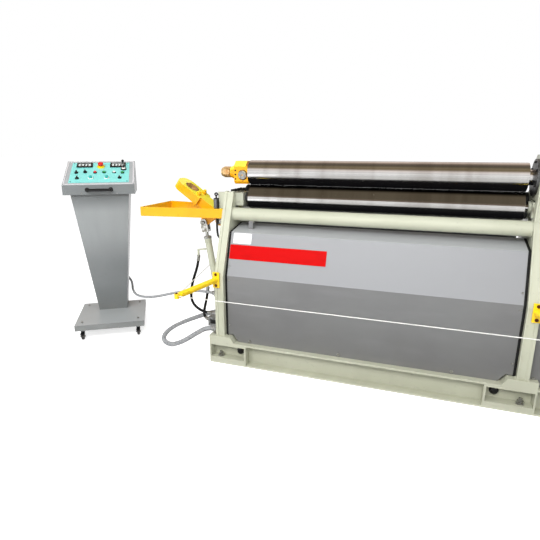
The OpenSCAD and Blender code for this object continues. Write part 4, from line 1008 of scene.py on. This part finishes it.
# The floor glows white to the camera and to mirrors, whatever lights it.
floor_paint = Finish("pale_floor", (0.80, 0.80, 0.80, 1.0), 0.9, Specular_IOR_Level=0.0)
rays = floor_paint.node("LightPath").siblings()
seen = rays["Is Camera Ray"] + rays["Is Glossy Ray"] + rays["Is Transmission Ray"]
glow = floor_paint.node("Emission", inputs={"Color": (1, 1, 1, 1), "Strength": seen * 0.68})
lit = Socket(floor_paint.tree, floor_paint.shader.outputs[0])
feed(floor_paint.tree, floor_paint.tree.nodes["Material Output"].inputs[0],
     floor_paint.node("AddShader", inputs={0: lit, 1: glow}))
card("floor", [(-60.0, 0.0), (60.0, 0.0)], floor_paint, (-60.0, 60.0), mirrored=False)


def glowing(name, colour):
    """Finish that only glows, so that a mirror shows it in one even colour, as a painted
    reflection.
    """
    return Finish(name, (0.0, 0.0, 0.0, 1.0), 1.0, Specular_IOR_Level=0.0,
                  Emission_Color=colour, Emission_Strength=1.0)


# Painted reflections: cards that polished steel alone sees. A grey card far out on the floor
# paints a pale reflection, and black cards on the floor before and behind the machine and one
# over the tie tube put painted shade into the rolls' reflections. Two folded cards in the gap
# between the rolls do the same: the upper one is black, and the lower one glows a dull brown,
# with a paler brown band along its lower edge as a painted glint, and black towards the back.
reflected_shade_brown, reflected_glint_brown = (0.13, 0.105, 0.07, 1.0), (0.30, 0.235, 0.19, 1.0)
card_black = glowing("dark_card", (0.006, 0.006, 0.007, 1.0))
card_grey = glowing("grey_card", (0.84, 0.84, 0.82, 1.0))
card_brown = glowing("brown_card", reflected_shade_brown)
depth, height = card_brown.axes()[1:]
# Painted glint: the lower edge of the card glows a paler brown.
rim = card_brown.mix(height.step(1.076, 1.105), reflected_glint_brown, reflected_shade_brown)
card_brown.set("Emission Color", card_brown.mix(depth.step(-0.055, -0.02), rim, (0, 0, 0, 1)))
card("far_card", [(-9.0, 0.004), (-1.5, 0.004)], card_grey)
card("front_card", [(-1.5, 0.006), (-0.29, 0.006)], card_black)
card("rear_card", [(0.30, 0.004), (3.5, 0.004)], card_black)
card("tie_card", [(-0.165, 0.999), (-0.11, 1.0015), (-0.05, 1.0015)], card_black)
card("gap_card_lower", [(-0.115, 1.078), (-0.115, 1.112), (-0.04, 1.136), (0.30, 1.136)],
     card_brown)
card("gap_card_upper", [(-0.113, 1.115), (-0.04, 1.138), (0.30, 1.138)], card_black)

# The sky that mirrors see has bands along the rolls: grey at the horizon, a white window above
# it, a warm ceiling edge, and a dark roof overhead and behind. round_ is 0 at the front, 1 at
# the back.
world = bpy.data.worlds.new("studio")
scene.world = world
world.use_nodes = True
tree = world.node_tree
x, y, z = wired(tree, "SeparateXYZ", inputs={0: wired(tree, "TexCoord")}).siblings().values()
round_ = z.math("ARCTAN2", z, y * -1.0) / np.pi
bands = wired(tree, "ValToRGB", inputs={0: round_})
ramp = bands.out.node.color_ramp
stops = ((0.0, (0.69, 0.69, 0.68)), (0.05, (1.16, 1.16, 1.14)), (0.10, (0.72, 0.70, 0.70)),
         (0.15, (1.02, 0.97, 0.95)), (0.20, (0.84, 0.75, 0.69)), (0.253, (0.31, 0.25, 0.18)),
         (0.307, (0.188, 0.14, 0.074)), (0.362, (0.276, 0.217, 0.137)),
         (0.421, (0.174, 0.137, 0.087)), (0.484, (0.111, 0.092, 0.063)),
         (0.554, (0.139, 0.111, 0.087)), (0.634, (0.287, 0.215, 0.165)),
         (0.734, (0.73, 0.59, 0.50)), (0.85, (0.80, 0.70, 0.64)), (0.95, (0.1, 0.09, 0.08)))
while len(ramp.elements) < len(stops):
    ramp.elements.new(0.5)
for element, (place, colour) in zip(ramp.elements, stops):
    element.position, element.color = place, (*colour, 1.0)
mirrored, spread_light, white = (
    wired(tree, "Background", inputs={"Color": colour, "Strength": strength})
    for colour, strength in ((bands, 1.15), ((1, 1, 1, 1), 0.48), ((1, 1, 1, 1), 1.0)))
rays = wired(tree, "LightPath").siblings()
light = wired(tree, "MixShader", inputs={0: rays["Is Glossy Ray"], 1: spread_light, 2: mirrored})
shown = rays["Is Camera Ray"] + rays["Is Transmission Ray"]
feed(tree, tree.nodes["World Output"].inputs[0],
     wired(tree, "MixShader", inputs={0: shown, 1: light, 2: white}))
